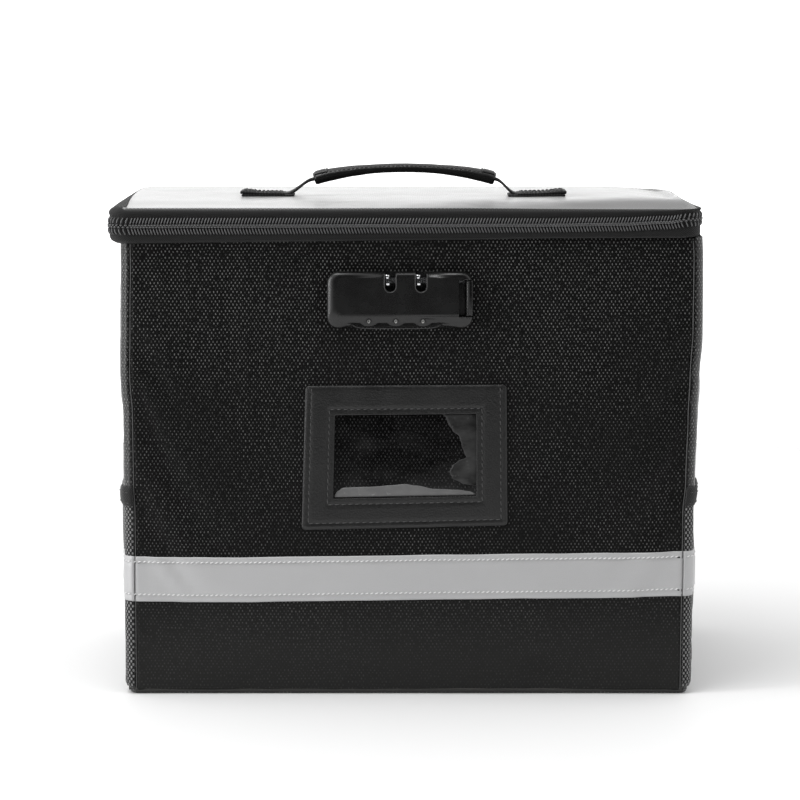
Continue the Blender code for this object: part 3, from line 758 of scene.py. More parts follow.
# ---- body cloth -------------------------------------------------------------------------------
def ring(half_x, half_y, radius, step):
    """Points, outward normals and arc lengths round a rounded rectangle, from the front middle."""
    out = []

    def add(x, y, nx, ny):
        if out:
            s = out[-1][2] + math.hypot(x - out[-1][0].x, y - out[-1][0].y)
        else:
            s = 0.0
        out.append((Vector((x, y, 0)), Vector((nx, ny, 0)), s))

    def run(a, b, n):
        count = max(int(math.dist(a, b) / step), 1)
        for i in range(count):
            t = i / count
            add(mix(a[0], b[0], t), mix(a[1], b[1], t), *n)

    def turn(cx, cy, start):
        count = max(int(radius * math.pi / 2 / (step * 0.4)), 3)
        for i in range(count):
            a = math.radians(start + 90 * i / count)
            add(cx + radius * math.cos(a), cy + radius * math.sin(a), math.cos(a), math.sin(a))

    kx, ky = half_x - radius, half_y - radius
    run((0, -half_y), (kx, -half_y), (0, -1))
    turn(kx, -ky, 270)
    run((half_x, -ky), (half_x, ky), (1, 0))
    turn(kx, ky, 0)
    run((kx, half_y), (-kx, half_y), (0, 1))
    turn(-kx, ky, 90)
    run((-half_x, ky), (-half_x, -ky), (-1, 0))
    turn(-kx, -ky, 180)
    run((-kx, -half_y), (0, -half_y), (0, -1))
    return out


SKIN_STEP = 6 * MM
SKIN_RADIUS = CORNER + 1.0 * MM


# The filled bag leans a little: half-widths to its left and right at a few heights, in mm
LEFT_EDGE = ((0, 179.6), (118, 179.4), (135, 180.2), (180, 180.5), (204, 182.0), (245, 181.5),
             (275, 180.9), (295, 181.0))
RIGHT_EDGE = ((0, 182.6), (118, 183.2), (135, 184.8), (180, 186.0), (204, 187.0), (235, 188.6),
              (280, 188.8), (295, 188.0))
SIDE_BULGE = 0.6 * MM
FRONT_BULGE = 0.9 * MM
BASE_ROUND = 5.0 * MM


def lean(z):
    """The middle of the bag and its width as a share of the straight box, at a height."""
    left, right = between(LEFT_EDGE, z / MM), between(RIGHT_EDGE, z / MM)
    return (right - left) / 2 * MM, (right + left) / 2 * MM / HALF_X


def leaned(p):
    middle, share = lean(p.z)
    return Vector((middle + p.x * share, p.y, p.z))


def skin_point(p, n, z):
    """A point of the outer cloth before simulation."""
    low = max(BASE_ROUND - z, 0.0)
    tuck = BASE_ROUND - math.sqrt(BASE_ROUND ** 2 - low ** 2)
    ripple = 0.35 * MM * wobble(p.x, p.y, z, 22.0, 3.1)
    ripple += 0.16 * MM * wobble(p.x, p.y, z, 70.0, 1.7)
    tall = math.sin(math.pi * min(z / BODY_TOP, 1.0))
    if abs(n.x) > 0.5:
        out = SIDE_BULGE * max(1 - (p.y / HALF_Y) ** 2, 0) ** 0.5 * tall
    else:
        out = FRONT_BULGE * max(1 - (p.x / HALF_X) ** 2, 0) ** 0.5 * tall
    return p + n * (out + ripple - tuck) + Vector((0, 0, z))


def shell_cloth():
    """The four walls as one loop of cloth over the boards, settled by a cloth simulation."""
    loop = ring(HALF_X, HALF_Y, SKIN_RADIUS, SKIN_STEP)
    count_z = int(BODY_TOP / SKIN_STEP)
    heights = [0.3 * MM + (BODY_TOP - 0.3 * MM) * i / count_z for i in range(count_z + 1)]
    rows = [[skin_point(p, n, z) for p, n, s in loop] for z in heights]
    ob = mesh_piece("shell cloth", [v for row in rows for v in row],
                    grid_faces(len(rows), len(loop), True))
    rest = [v.co.copy() for v in ob.data.vertices]
    held = ob.vertex_groups.new(name="held")
    cols = len(loop)
    for r in range(len(rows)):
        for c, (p, n, s) in enumerate(loop):
            near_corner = abs(p.x) > SEAM_X - 4 * MM and abs(p.y) > HALF_Y - CORNER - 4 * MM
            fixed = r < 2 or r > len(rows) - 3 or near_corner
            held.add([r * cols + c], 1.0 if fixed else 0.0, "REPLACE")
    cloth = ob.modifiers.new("cloth", "CLOTH")
    cloth.settings.quality = 5
    cloth.settings.mass = 0.35
    cloth.settings.tension_stiffness = 18
    cloth.settings.compression_stiffness = 18
    cloth.settings.shear_stiffness = 8
    cloth.settings.bending_stiffness = 1.2
    cloth.settings.vertex_group_mass = "held"
    cloth.settings.shrink_min = -0.004
    cloth.settings.use_pressure = True
    cloth.settings.uniform_pressure_force = 1.2
    cloth.collision_settings.use_collision = False
    cloth.point_cache.frame_start = 1
    cloth.point_cache.frame_end = 16
    scene = bpy.context.scene
    for f in range(1, 17):
        scene.frame_set(f)
    apply_modifiers(ob)
    scene.frame_set(1)
    most, inward = 2.0 * MM, 0.45 * MM
    for k, (v, start) in enumerate(zip(ob.data.vertices, rest)):
        move = v.co - start
        normal = loop[k % cols][1]
        move -= normal * min(move.dot(normal) + inward, 0.0)
        v.co = start + move * (most * math.tanh(move.length / most) / max(move.length, 1e-9))
    return ob, loop, heights


SHELL, LOOP, HEIGHTS = shell_cloth()
SHELL_ROWS = [[leaned(SHELL.data.vertices[r * len(LOOP) + c].co) for c in range(len(LOOP))]
              for r in range(len(HEIGHTS))]
bpy.data.objects.remove(SHELL, do_unlink=True)
LOOP_MARKS = [mark for p, n, mark in LOOP]
LOOP_LENGTH = LOOP_MARKS[-1] + (LOOP[0][0] - LOOP[-1][0]).length
SIDE_LENGTH = math.pi * SKIN_RADIUS + 2 * (HALF_Y - SKIN_RADIUS)
FLAT_RUN = HALF_X - SKIN_RADIUS
SEAM_TURN = SEAM_X - FLAT_RUN
SEAMS = {"front_right": FLAT_RUN + SEAM_TURN, "back_right": FLAT_RUN + SIDE_LENGTH - SEAM_TURN}
SEAMS["back_left"] = LOOP_LENGTH - SEAMS["back_right"]
SEAMS["front_left"] = LOOP_LENGTH - SEAMS["front_right"]


def skin(s, z, lift=0.0):
    """The settled cloth at a distance round the walls from the front's middle, and a height."""
    s %= LOOP_LENGTH
    cols = len(LOOP)
    c = bisect.bisect_right(LOOP_MARKS, s) - 1
    after = LOOP_MARKS[c + 1] if c + 1 < cols else LOOP_LENGTH
    tc = (s - LOOP_MARKS[c]) / (after - LOOP_MARKS[c])
    row = min(max((z - HEIGHTS[0]) / (HEIGHTS[-1] - HEIGHTS[0]), 0.0), 1.0) * (len(HEIGHTS) - 1)
    r = min(int(row), len(HEIGHTS) - 2)
    tr = row - r
    lines = []
    for k in (r - 1, r, r + 1, r + 2):
        line = SHELL_ROWS[min(max(k, 0), len(HEIGHTS) - 1)]
        lines.append(spline(line[c - 1], line[c], line[(c + 1) % cols], line[(c + 2) % cols], tc))
    point = spline(*lines, tr)
    out = LOOP[c][1].lerp(LOOP[(c + 1) % cols][1], tc).normalized()
    return point + out * lift, out


def on_front(x, z, lift=0.0, back=False):
    """The front (or back) cloth at a place in x and z."""
    middle, share = lean(z)
    s = (x - middle) / share
    point, out = skin(LOOP_LENGTH / 2 - s if back else s, z, lift)
    point.x = x
    return point


def seam_dip(distance):
    """How far cloth sinks towards the seam line at its edge."""
    return 0.9 * MM * bell(distance, 0, 1.3 * MM)


def fold_rise(distance):
    """The turned edge of a front or back panel stands a little proud beside its seam."""
    return 0.45 * MM * bell(distance, 2.6 * MM, 1.5 * MM)


PANEL_STEP = 3.0 * MM


def panel(name, start, end, replaced, material, folded):
    """One cloth panel of the shell, its edges turned in at the seams."""
    length = end - start
    count = int(length / PANEL_STEP)
    places = [0.0, 0.7 * MM, 1.4 * MM, 2.2 * MM]
    inner = [mix(3.2 * MM, length - 3.2 * MM, i / count) for i in range(count + 1)]
    places = places + inner + [length - q for q in reversed(places)]
    levels = int(BODY_TOP / PANEL_STEP)
    rows = []
    for r in range(levels + 1):
        z = mix(HEIGHTS[0], HEIGHTS[-1], r / levels)
        row = []
        for along in places:
            near = min(along, length - along)
            wave = math.sin(z / (3.1 * MM) + 9 * wobble(along, 0, z, 12.0, 4.0))
            pucker = 0.22 * MM * math.exp(-near / (6 * MM)) * wave
            rise = fold_rise(near) if folded else 0.0
            point = skin(start + along, z, pucker + rise - seam_dip(near))[0]
            row.append((point, (along - length / 2, z)))
        rows.append(row)
    return cloth_piece(name, rows, 1.0 * MM, "bag", "coated_fabric", material, replaced)


panel("front_cloth", -SEAMS["front_right"], SEAMS["front_right"], ["panel_front"], "fabric", True)
panel("right_cloth", SEAMS["front_right"], SEAMS["back_right"], ["side_right"], "fabric_side",
      False)
panel("back_cloth", SEAMS["back_right"], SEAMS["back_left"], ["panel_back"], "fabric", True)
panel("left_cloth", SEAMS["back_left"], SEAMS["front_left"], ["side_left"], "fabric_side", False)


def ring_fixed(half_x, half_y, radius, across=72, deep=44, turn=10):
    """A rounded rectangle with the same number of points whatever its size."""
    out = []
    kx, ky = half_x - radius, half_y - radius
    corners = ((kx, -ky, 270), (kx, ky, 0), (-kx, ky, 90), (-kx, -ky, 180))
    runs = (((-kx, -half_y), (kx, -half_y), (0, -1), across),
            ((half_x, -ky), (half_x, ky), (1, 0), deep),
            ((kx, half_y), (-kx, half_y), (0, 1), across),
            ((-half_x, ky), (-half_x, -ky), (-1, 0), deep))
    for (a, b, n, count), (cx, cy, start) in zip(runs, corners):
        for i in range(count):
            t = i / count
            out.append((Vector((mix(a[0], b[0], t), mix(a[1], b[1], t), 0)), Vector((*n, 0))))
        for i in range(turn):
            angle = math.radians(start + 90 * i / turn)
            m = Vector((math.cos(angle), math.sin(angle), 0))
            out.append((Vector((cx, cy, 0)) + m * radius, m))
    return out


def base_cloth():
    """The base panel, its rim turned up behind the walls' lower edge."""
    rows = []
    for inset, z in ((2.6, 2.4), (3.2, 1.0), (4.4, 0.3), (7.0, 0.0), (30.0, 0.1), (70.0, 0.0),
                     (110.0, 0.05)):
        row = []
        radius = max(CORNER + 1.0 * MM - inset * MM, 0.8 * MM)
        for p, n in ring_fixed(HALF_X - inset * MM, HALF_Y - inset * MM, radius):
            q = leaned(p + Vector((0, 0, z * MM)))
            row.append((q, (q.x, q.y)))
        rows.append(row)
    cloth_piece("base_cloth", rows, 0.9 * MM, "bag", "coated_fabric", "fabric_side",
                ["panel_base"], wrap=True)


base_cloth()


def seam_threads():
    """The pale stitched edge in each vertical seam: a fine cord, lighter than the cloth as a painted
    highlight of the folded edge, and the row of stitches by it.
    """
    cords, lines = [], []
    for name, s in SEAMS.items():
        turn = 1 if name in ("front_left", "back_right") else -1
        path, line = [], []
        for i in range(90):
            z = mix(3 * MM, BODY_TOP - 3 * MM, i / 89)
            path.append(skin(s + turn * 0.55 * MM, z, 0.0)[0])
            line.append(skin(s - turn * 1.7 * MM, z, 0.05 * MM)[0])
        # The right cord is thicker, for the brighter painted highlight there.
        radius = 0.36 * MM if "right" in name else 0.30 * MM
        cords.append(tube_data(path, radius, 8, up=Vector((0, 1, 0))))
        lines.append((line, skin(s - turn * 1.7 * MM, BODY_TOP / 2)[1]))
    ob = joined("seam_highlight_cords", cords, lambda v: (v.x + v.y, v.z))
    finish_piece(ob, "bag", "seam_highlight_cord")
    for k, (line, out) in enumerate(lines):
        stitches("seam_stitches_%d" % (k + 1), [line], out, 3.6 * MM, 2.4 * MM, 0.25 * MM)


seam_threads()


BOARD_DEPTH = 1.9 * MM
BOARD_THICK = 2.3 * MM


def inner_boards():
    """The stiffener boards, which follow the cloth that leans with the filled bag."""
    for name, axis, sign in (("front", 1, -1), ("back", 1, 1), ("left", 0, -1), ("right", 0, 1)):
        low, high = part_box("board_" + name)
        layers = []
        for depth in (BOARD_DEPTH, BOARD_DEPTH + BOARD_THICK):
            rows = []
            for r in range(13):
                z = mix(low.z, high.z, r / 12)
                xs = [mix(low.x, high.x, c / 12) if axis else sign * (HALF_X - depth)
                      for c in range(13)]
                ys = [sign * (HALF_Y - depth) if axis else mix(low.y, high.y, c / 12)
                      for c in range(13)]
                rows.append([leaned(Vector((x, y, z))) for x, y in zip(xs, ys)])
            layers.append(rows)
        ob = slab("stiffener_" + name, *layers, soft=False)
        finish_piece(ob, "bag", "board", ["board_" + name])


inner_boards()


# ---- reflective strips ------------------------------------------------------------------------
STRIP_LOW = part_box("strip_front")[0].z
STRIP_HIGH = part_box("strip_front")[1].z
STRIP_EDGE = 4.0 * MM
STRIP_CLIMB = 1.6 * MM
POCKET_LOW, POCKET_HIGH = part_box("pocket_right")
BINDING_LOW, BINDING_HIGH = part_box("pocket_binding_right")
POCKET_OUT = POCKET_HIGH.x - HALF_X
SIDE_SPANS = {"right": (SEAMS["front_right"], SEAMS["back_right"]),
              "left": (SEAMS["back_left"], SEAMS["front_left"])}


def strip_z(x, share):
    """Height on a front or back strip; it climbs slightly to the right and wavers as sewn."""
    climb = STRIP_CLIMB * x / HALF_X
    waver = 0.35 * MM * math.sin(x * 14.0 + 0.6) + 0.25 * MM * wobble(x, share, 0, 35.0, 4.0)
    return mix(STRIP_LOW, STRIP_HIGH, share) + climb + waver


def strip_lift(edge, waviness):
    """How far the tape stands off at a distance from its edge: sewn down along the stitches."""
    puff = 0.45 * MM * smooth(edge / (6 * MM))
    dent = 0.55 * MM * bell(edge, STRIP_EDGE, 0.9 * MM)
    return puff - dent + 0.10 * MM * waviness


def flat_strip(side):
    lift = 0.60 * MM
    tall = STRIP_HIGH - STRIP_LOW
    back = side == "back"
    rows = []
    for r in range(29):
        share = r / 28
        edge = min(share, 1 - share) * tall
        row = []
        for c in range(161):
            x = mix(-1, 1, c / 160)
            middle, wide = lean(mix(STRIP_LOW, STRIP_HIGH, share))
            x = middle + x * wide * (SEAM_X + 0.4 * MM)
            waves = wobble(x, share, 0, 90.0, 8.0)
            end = 1 - 0.45 * math.exp(-(SEAM_X * wide - abs(x - middle)) / (1.5 * MM))
            stand = lift * end + strip_lift(edge, waves)
            row.append((on_front(x, strip_z(x, share), stand, back), (x, share * tall)))
        rows.append(row)
    cloth_piece("reflective_strip_" + side, rows, 0.45 * MM, "bag", "reflective", "tape",
                ["strip_" + side], flip=back)
    lines = []
    for share in (STRIP_EDGE / tall, 1 - STRIP_EDGE / tall):
        xs = [mix(-SEAM_X + 2 * MM, SEAM_X - 2 * MM, i / 90) for i in range(91)]
        lines.append([on_front(x, strip_z(x, share), lift + 0.05 * MM, back) for x in xs])
    stitches("strip_stitches_" + side, lines, (0, 1 if back else -1, 0), 3.1 * MM, 2.2 * MM,
             0.42 * MM, slant=0.45, material="grey_thread")


flat_strip("front")
flat_strip("back")


# ---- side pockets -----------------------------------------------------------------------------
def pocket_out(s, z, span):
    """How far the net stands off the side: sewn at the seams and the foot, loose between."""
    near = min(s - span[0], span[1] - s)
    rise = smooth((near - 9 * MM) / (30 * MM))
    foot = mix(0.2, 1.0, smooth((z - POCKET_LOW.z) / (16 * MM)))
    slack = 0.35 * MM * wobble(s, 0, z, 24.0, 5.0) * rise
    return 0.75 * MM + 0.22 * POCKET_OUT * rise * foot + slack


def side_sheet(name, label, low, high, inset, out, rises, thick, slot, material, replaced):
    """A sheet sewn round one side from its front seam to its back seam."""
    span = SIDE_SPANS[label]
    start, end = span[0] + inset, span[1] - inset
    rows = []
    for r in range(rises + 1):
        share = r / rises
        row = []
        for c in range(141):
            s = mix(start, end, c / 140)
            z = mix(low(s), high(s), share)
            row.append((skin(s, z, pocket_out(s, z, span) + out(s, share))[0], (s, z)))
        rows.append(row)
    return cloth_piece(name, rows, thick, "bag", slot, material, replaced)


def side_line(label, z, lift, inset=2 * MM):
    span = SIDE_SPANS[label]
    found = []
    for i in range(121):
        s = mix(span[0] + inset, span[1] - inset, i / 120)
        found.append(skin(s, z, pocket_out(s, z, span) + lift)[0])
    return found


def side_normal(label):
    """The outward direction on a side pocket, turning round its corners."""
    sign = 1 if label == "right" else -1

    def normal(p):
        past = max(abs(p.y) - (HALF_Y - SKIN_RADIUS), 0.0) / SKIN_RADIUS
        angle = min(past, 1.0) * math.radians(70)
        return Vector((sign * math.cos(angle), math.copysign(math.sin(angle), p.y), 0))
    return normal


def make_pocket(label):
    sag = 1.2 * MM
    span = SIDE_SPANS[label]
    middle, half = (span[0] + span[1]) / 2, (span[1] - span[0]) / 2

    def level(z):
        return lambda s: z - sag * (1 - ((s - middle) / half) ** 2)

    side_sheet("net_pocket_" + label, label, lambda s: POCKET_LOW.z - 1.5 * MM,
               level(BINDING_LOW.z + 3 * MM), 0.7 * MM, lambda s, t: 0.0, 44, 0.7 * MM, "mesh",
               "net", ["pocket_" + label])

    def gathered(s, t):
        gathers = 0.10 * math.sin(2 * math.pi * s / (2.1 * MM))
        return MM * (0.35 + 1.0 * math.sin(math.pi * t) ** 0.6 + gathers)

    side_sheet("net_pocket_binding_" + label, label, level(BINDING_LOW.z + 1.5 * MM),
               level(BINDING_HIGH.z), 0.5 * MM, gathered, 12, 1.9 * MM, "webbing", "binding",
               ["pocket_binding_" + label])
    out = side_normal(label)
    lines = [side_line(label, BINDING_LOW.z + 3.6 * MM, 1.15 * MM),
             side_line(label, BINDING_HIGH.z - 3.6 * MM, 1.15 * MM)]
    stitches("binding_stitches_" + label, lines, out, 3.2 * MM, 2.3 * MM, 0.28 * MM)
    tall = STRIP_HIGH - STRIP_LOW
    # The side strips meet the front one where its slight climb has brought it
    climb = STRIP_CLIMB if label == "right" else -STRIP_CLIMB
    side_sheet("reflective_strip_" + label, label, lambda s: STRIP_LOW + climb,
               lambda s: STRIP_HIGH + climb, 0.15 * MM, lambda s,
               t: 0.25 * MM + strip_lift(min(t, 1 - t) * tall, 0.0), 28, 0.45 * MM, "reflective",
               "tape", ["strip_" + label])
    lines = [[p + Vector((0, 0, climb)) for p in side_line(label, z, 0.32 * MM)]
             for z in (STRIP_LOW + STRIP_EDGE, STRIP_HIGH - STRIP_EDGE)]
    stitches("strip_stitches_" + label, lines, out, 3.1 * MM, 2.2 * MM, 0.42 * MM,
             slant=0.45, material="grey_thread")


make_pocket("left")
make_pocket("right")


# ---- zip --------------------------------------------------------------------------------------
# How the sewn-in zip wavers along the front, in mm: height of its middle line above the hinge
# line, half of the chain's height, and the lower tape's foot below the hinge line
ZIP_RISE = ((-183, 0.9), (-120, 1.1), (0, 1.4), (85, 1.7), (135, 2.3), (166, 3.5), (180, 5.2),
            (190, 6.0))
CHAIN_HALF = ((-183, 5.4), (-120, 5.3), (0, 4.9), (100, 4.5), (190, 4.3))
TAPE_FOOT = ((-183, -10.0), (-120, -9.3), (-80, -8.8), (0, -7.9), (110, -6.6), (190, -6.4))


def zip_line(step=3 * MM):
    """Points and outward normals along the zip's U, from its left rear end to its right one."""
    kx, ky = HALF_X - BAND_INNER, HALF_Y - BAND_INNER
    points = []

    def run(a, b, n, first, past):
        count = int((abs(b[0] - a[0]) + abs(b[1] - a[1])) / step)
        for i in range(first, count + past):
            t = i / count
            points.append((Vector((mix(a[0], b[0], t), mix(a[1], b[1], t), 0)), Vector(n)))

    def turn(cx, start):
        for i in range(11):
            a = math.radians(start + 90 * i / 10)
            n = Vector((math.cos(a), math.sin(a), 0))
            points.append((Vector((cx, -ky, 0)) + n * BAND_INNER, n))

    run((-HALF_X, ZIP_REAR), (-HALF_X, -ky), (-1, 0, 0), 0, 0)
    turn(-kx, 180)
    run((-kx, -HALF_Y), (kx, -HALF_Y), (0, -1, 0), 1, 0)
    turn(kx, 270)
    run((HALF_X, -ky), (HALF_X, ZIP_REAR), (1, 0, 0), 1, 1)
    return points


def settle(p):
    """The band and lid edge sit slightly further in at the right."""
    return Vector((p.x - 1.3 * MM * smooth((p.x - 0.10) / 0.085), p.y, p.z))


def front_share(p):
    """1 along the front, falling to 0 along the sides before the parked sliders."""
    return 1 - smooth((p.y + HALF_Y - 8 * MM) / (95 * MM))


def zip_rise(p):
    return between(ZIP_RISE, p.x / MM) * MM * front_share(p)


def chain_half(p):
    return mix(4.4, between(CHAIN_HALF, p.x / MM), front_share(p)) * MM


def tape_foot(p):
    return mix(-9.4, between(TAPE_FOOT, p.x / MM), front_share(p)) * MM


def zip_strip(name, profile, body, slot, material, replaced, thick):
    """A band swept along the zip: profile(p) gives (distance out, height) pairs at a place."""
    guides = zip_line()
    shapes = [profile(p) for p, n in guides]
    marks = distances([p for p, n in guides])
    rows = []
    for k in range(len(shapes[0])):
        row = []
        for (p, n), shape, mark in zip(guides, shapes, marks):
            out, z = shape[k]
            ripple = 0.20 * MM * wobble(mark, 0, z, 30.0, 2.0)
            row.append((settle(p + n * (out + ripple) + Vector((0, 0, HINGE.z + z))), (mark, z)))
        rows.append(row)
    return cloth_piece(name, rows, thick, body, slot, material, replaced)


def curve_rows(knots, steps=4):
    """Finer (out, height) pairs on a smooth curve through a few of them."""
    points = [Vector((a, b)) for a, b in knots]
    fine = []
    for k in range(len(points) - 1):
        a, d = points[max(k - 1, 0)], points[min(k + 2, len(points) - 1)]
        for i in range(steps):
            fine.append(spline(a, points[k], points[k + 1], d, i / steps))
    fine.append(points[-1])
    return [(q.x, q.y) for q in fine]


def lower_tape_shape(p):
    foot, chain, rise = tape_foot(p), -chain_half(p), zip_rise(p)
    level = mix(foot, chain, 0.35)
    knots = ((0.5 * MM, foot - 0.2 * MM), (1.1 * MM, foot + 0.1 * MM),
             (2.1 * MM, mix(foot, chain, 0.14)), (3.7 * MM, level),
             (4.8 * MM, mix(foot, chain, 0.8)), (4.9 * MM, chain + rise * 0.9),
             (4.3 * MM, rise - 2.6 * MM), (4.0 * MM, rise - 0.5 * MM))
    flat = mix(0.80, 1.0, smooth(front_share(p) * 1.6 - 0.6))
    return curve_rows([(out * flat, z) for out, z in knots])


def upper_tape_shape(p):
    chain, rise = chain_half(p), zip_rise(p)
    return curve_rows(((4.0 * MM, rise + 0.5 * MM), (4.3 * MM, rise + 2.6 * MM),
                       (4.9 * MM, rise + chain + 0.3 * MM), (4.6 * MM, rise + chain + 1.8 * MM)))


zip_strip("zip_tape_lower_cloth", lower_tape_shape, "bag", "zip_tape", "zip_tape",
          ["zip_tape_lower", "zip_binding_lower"], 0.7 * MM)
zip_strip("zip_tape_upper_cloth", upper_tape_shape, "lid", "zip_tape", "zip_tape",
          ["zip_tape_upper"], 0.7 * MM)


def zip_teeth(name, sign, body, replaced):
    """One side of the coil: a slanted leg of nylon for each tooth and the loop at its head."""
    pitch = 1.95 * MM
    guide = zip_line(1 * MM)
    marks = distances([p for p, n in guide])
    parts = []
    k = 0
    for i in range(int(marks[-1] / pitch)):
        s = (i + (0.5 if sign > 0 else 0.0)) * pitch
        while k < len(marks) - 2 and marks[k + 1] < s:
            k += 1
        t = (s - marks[k]) / max(marks[k + 1] - marks[k], 1e-9)
        p = guide[k][0].lerp(guide[k + 1][0], t)
        n = guide[k][1].lerp(guide[k + 1][1], t).normalized()
        way = Vector((-n.y, n.x, 0))
        half, rise = chain_half(p), zip_rise(p)

        def place(out, slide, up):
            lift = Vector((0, 0, HINGE.z + rise + sign * up))
            return settle(p + n * (out * MM) + way * (slide * MM) + lift)
        leg = [place(4.2, 1.25, half), place(5.2, 1.05, half * 0.90),
               place(5.75, 0.55, half * 0.66), place(5.75, 0.10, half * 0.42),
               place(5.3, -0.20, half * 0.27)]
        parts.append(tube_data(leg, lambda q: MM * (0.34 + 0.14 * math.sin(math.pi * q)), 6, up=n))
        head = [place(5.05, -0.85, half * 0.17), place(5.60, -0.50, half * 0.12),
                place(5.80, -0.05, half * 0.10), place(5.60, 0.35, half * 0.12),
                place(5.05, 0.65, half * 0.17)]
        parts.append(tube_data(head, lambda q: MM * (0.34 + 0.32 * math.sin(math.pi * q)), 6, up=n))
    finish_piece(joined(name, parts), body, "coil", replaced)


zip_teeth("zip_coil_lower_teeth", -1, "bag", ["zip_coil_lower"])
zip_teeth("zip_coil_upper_teeth", 1, "lid", ["zip_coil_upper"])


# ---- lid --------------------------------------------------------------------------------------
# The lid's outer cloth from the zip up and over to its middle: distance outside the body,
# height over the skirt's foot, and plan corner radius, all in mm
LID_SECTION = ((3.6, -1.4, 12.0), (4.3, -0.9, 13.0), (4.8, 0.4, 13.6), (4.9, 1.8, 13.6),
               (4.5, 3.2, 13.3), (3.7, 4.6, 12.7), (2.5, 5.8, 11.7), (0.9, 6.7, 10.3),
               (-1.1, 7.25, 8.8), (-3.6, 7.50, 7.2), (-7.0, 7.60, 5.4), (-11.0, 7.60, 4.0),
               (-17.0, 7.60, 3.0), (-25.0, 7.60, 2.4), (-35.0, 7.60, 2.0), (-47.0, 7.60, 1.7),
               (-60.0, 7.60, 1.4), (-75.0, 7.60, 1.2), (-90.0, 7.60, 1.0), (-104.0, 7.60, 0.8),
               (-114.0, 7.60, 0.7), (-118.6, 7.60, 0.5))
LID_RISE = LID_TOP - SKIRT_LOW
SECTION_RISE = 7.6


def lid_dents(x, y):
    """Height of the lid's top against a flat one: a soft crown with shallow dents."""
    u = abs(x) / (HALF_X + 4 * MM)
    v = abs(y) / (HALF_Y + 4 * MM)
    crown = -0.5 * MM * (1 - u ** 4) * (1 - v ** 4)
    dents = 0.55 * MM * wobble(x, y, 0, 12.0, 7.0) + 0.22 * MM * wobble(x, y, 0, 38.0, 2.0)
    droop = 5.0 * MM * smooth((x - 0.140) / 0.055) * smooth((y + 0.075) / 0.12)
    slope = (2.0 + 1.4 * smooth((x - 0.02) / 0.12)) * MM * smooth((-y - 0.055) / 0.062)
    return crown + dents * (1 - u ** 6) * (1 - v ** 6) - droop - slope


def lid_loop(out, radius):
    """Plan loop of the lid at a distance outside the body; its rear stays at the hinge."""
    front = -HALF_Y - out
    back = HALF_Y + min(out, 0.0)
    middle, half_y = (front + back) / 2, (back - front) / 2
    radius = max(min(radius, half_y - 0.4 * MM), 0.3 * MM)
    return [(p + Vector((0, middle, 0)), n) for p, n in ring_fixed(HALF_X + out, half_y, radius)]


def lid_surface(row):
    """The lid's outer surface at a fractional row of its section: points round the loop."""
    k = min(int(row), len(LID_SECTION) - 2)
    t = row - k
    last = len(LID_SECTION) - 1
    a, b, c, d = (Vector(LID_SECTION[min(max(q, 0), last)]) for q in (k - 1, k, k + 1, k + 2))
    out, up, radius = spline(a, b, c, d, t)
    points = []
    for p, n in lid_loop(out * MM, radius * MM):
        share = smooth((6.0 - out) / 12.0)
        foot = (zip_rise(p) + chain_half(p) - 4.6 * MM) * (1 - smooth((up + 1.4) / 8.0))
        z = SKIRT_LOW + up / SECTION_RISE * LID_RISE + lid_dents(p.x, p.y) * share + foot
        ripple = 0.28 * MM * wobble(p.x, p.y, z, 30.0, 9.0) * (1 - share * 0.6)
        points.append(settle(p + n * ripple + Vector((0, 0, z))))
    return points


def lid_cover():
    steps = 2
    rows = []
    for r in range((len(LID_SECTION) - 1) * steps + 1):
        rows.append([(p, (p.x, p.y)) for p in lid_surface(r / steps)])
    return cloth_piece("lid_cloth", rows, 1.0 * MM, "lid", "coated_fabric", "fabric_lid",
                       ["lid_cover"], wrap=True, close=True)


LID_CLOTH = lid_cover()
LID_TREE = BVHTree.FromObject(LID_CLOTH, bpy.context.evaluated_depsgraph_get())


def on_lid(x, y, lift=0.0):
    hit = LID_TREE.ray_cast(Vector((x, y, 1)), Vector((0, 0, -1)))[0]
    return hit + Vector((0, 0, lift))


def lid_stiffener():
    """The lid's board, bent to the cloth that it holds up."""
    low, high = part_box("lid_board")
    middle, half_y = (low.y + high.y) / 2, (high.y - low.y) / 2 - 0.4 * MM
    top, foot_rows = [], []
    for inset in (112, 90, 60, 30, 14, 6, 2, 0):
        loop = ring_fixed(high.x - (inset + 0.4) * MM, half_y - inset * MM,
                          max(11 - inset, 1) * MM)
        places = [(p.x, p.y + middle) for p, n in loop]
        top.append([(on_lid(x, y, -1.5 * MM), (x, y)) for x, y in places])
        foot_rows.append([(Vector((x, y, low.z + 0.1 * MM)), (x, y)) for x, y in places])
    ob = grid_piece("lid_stiffener", foot_rows[:1] + top + foot_rows[::-1], wrap=True, close=True)
    tidy_normals(ob)
    finish_piece(ob, "lid", "board", ["lid_board"])


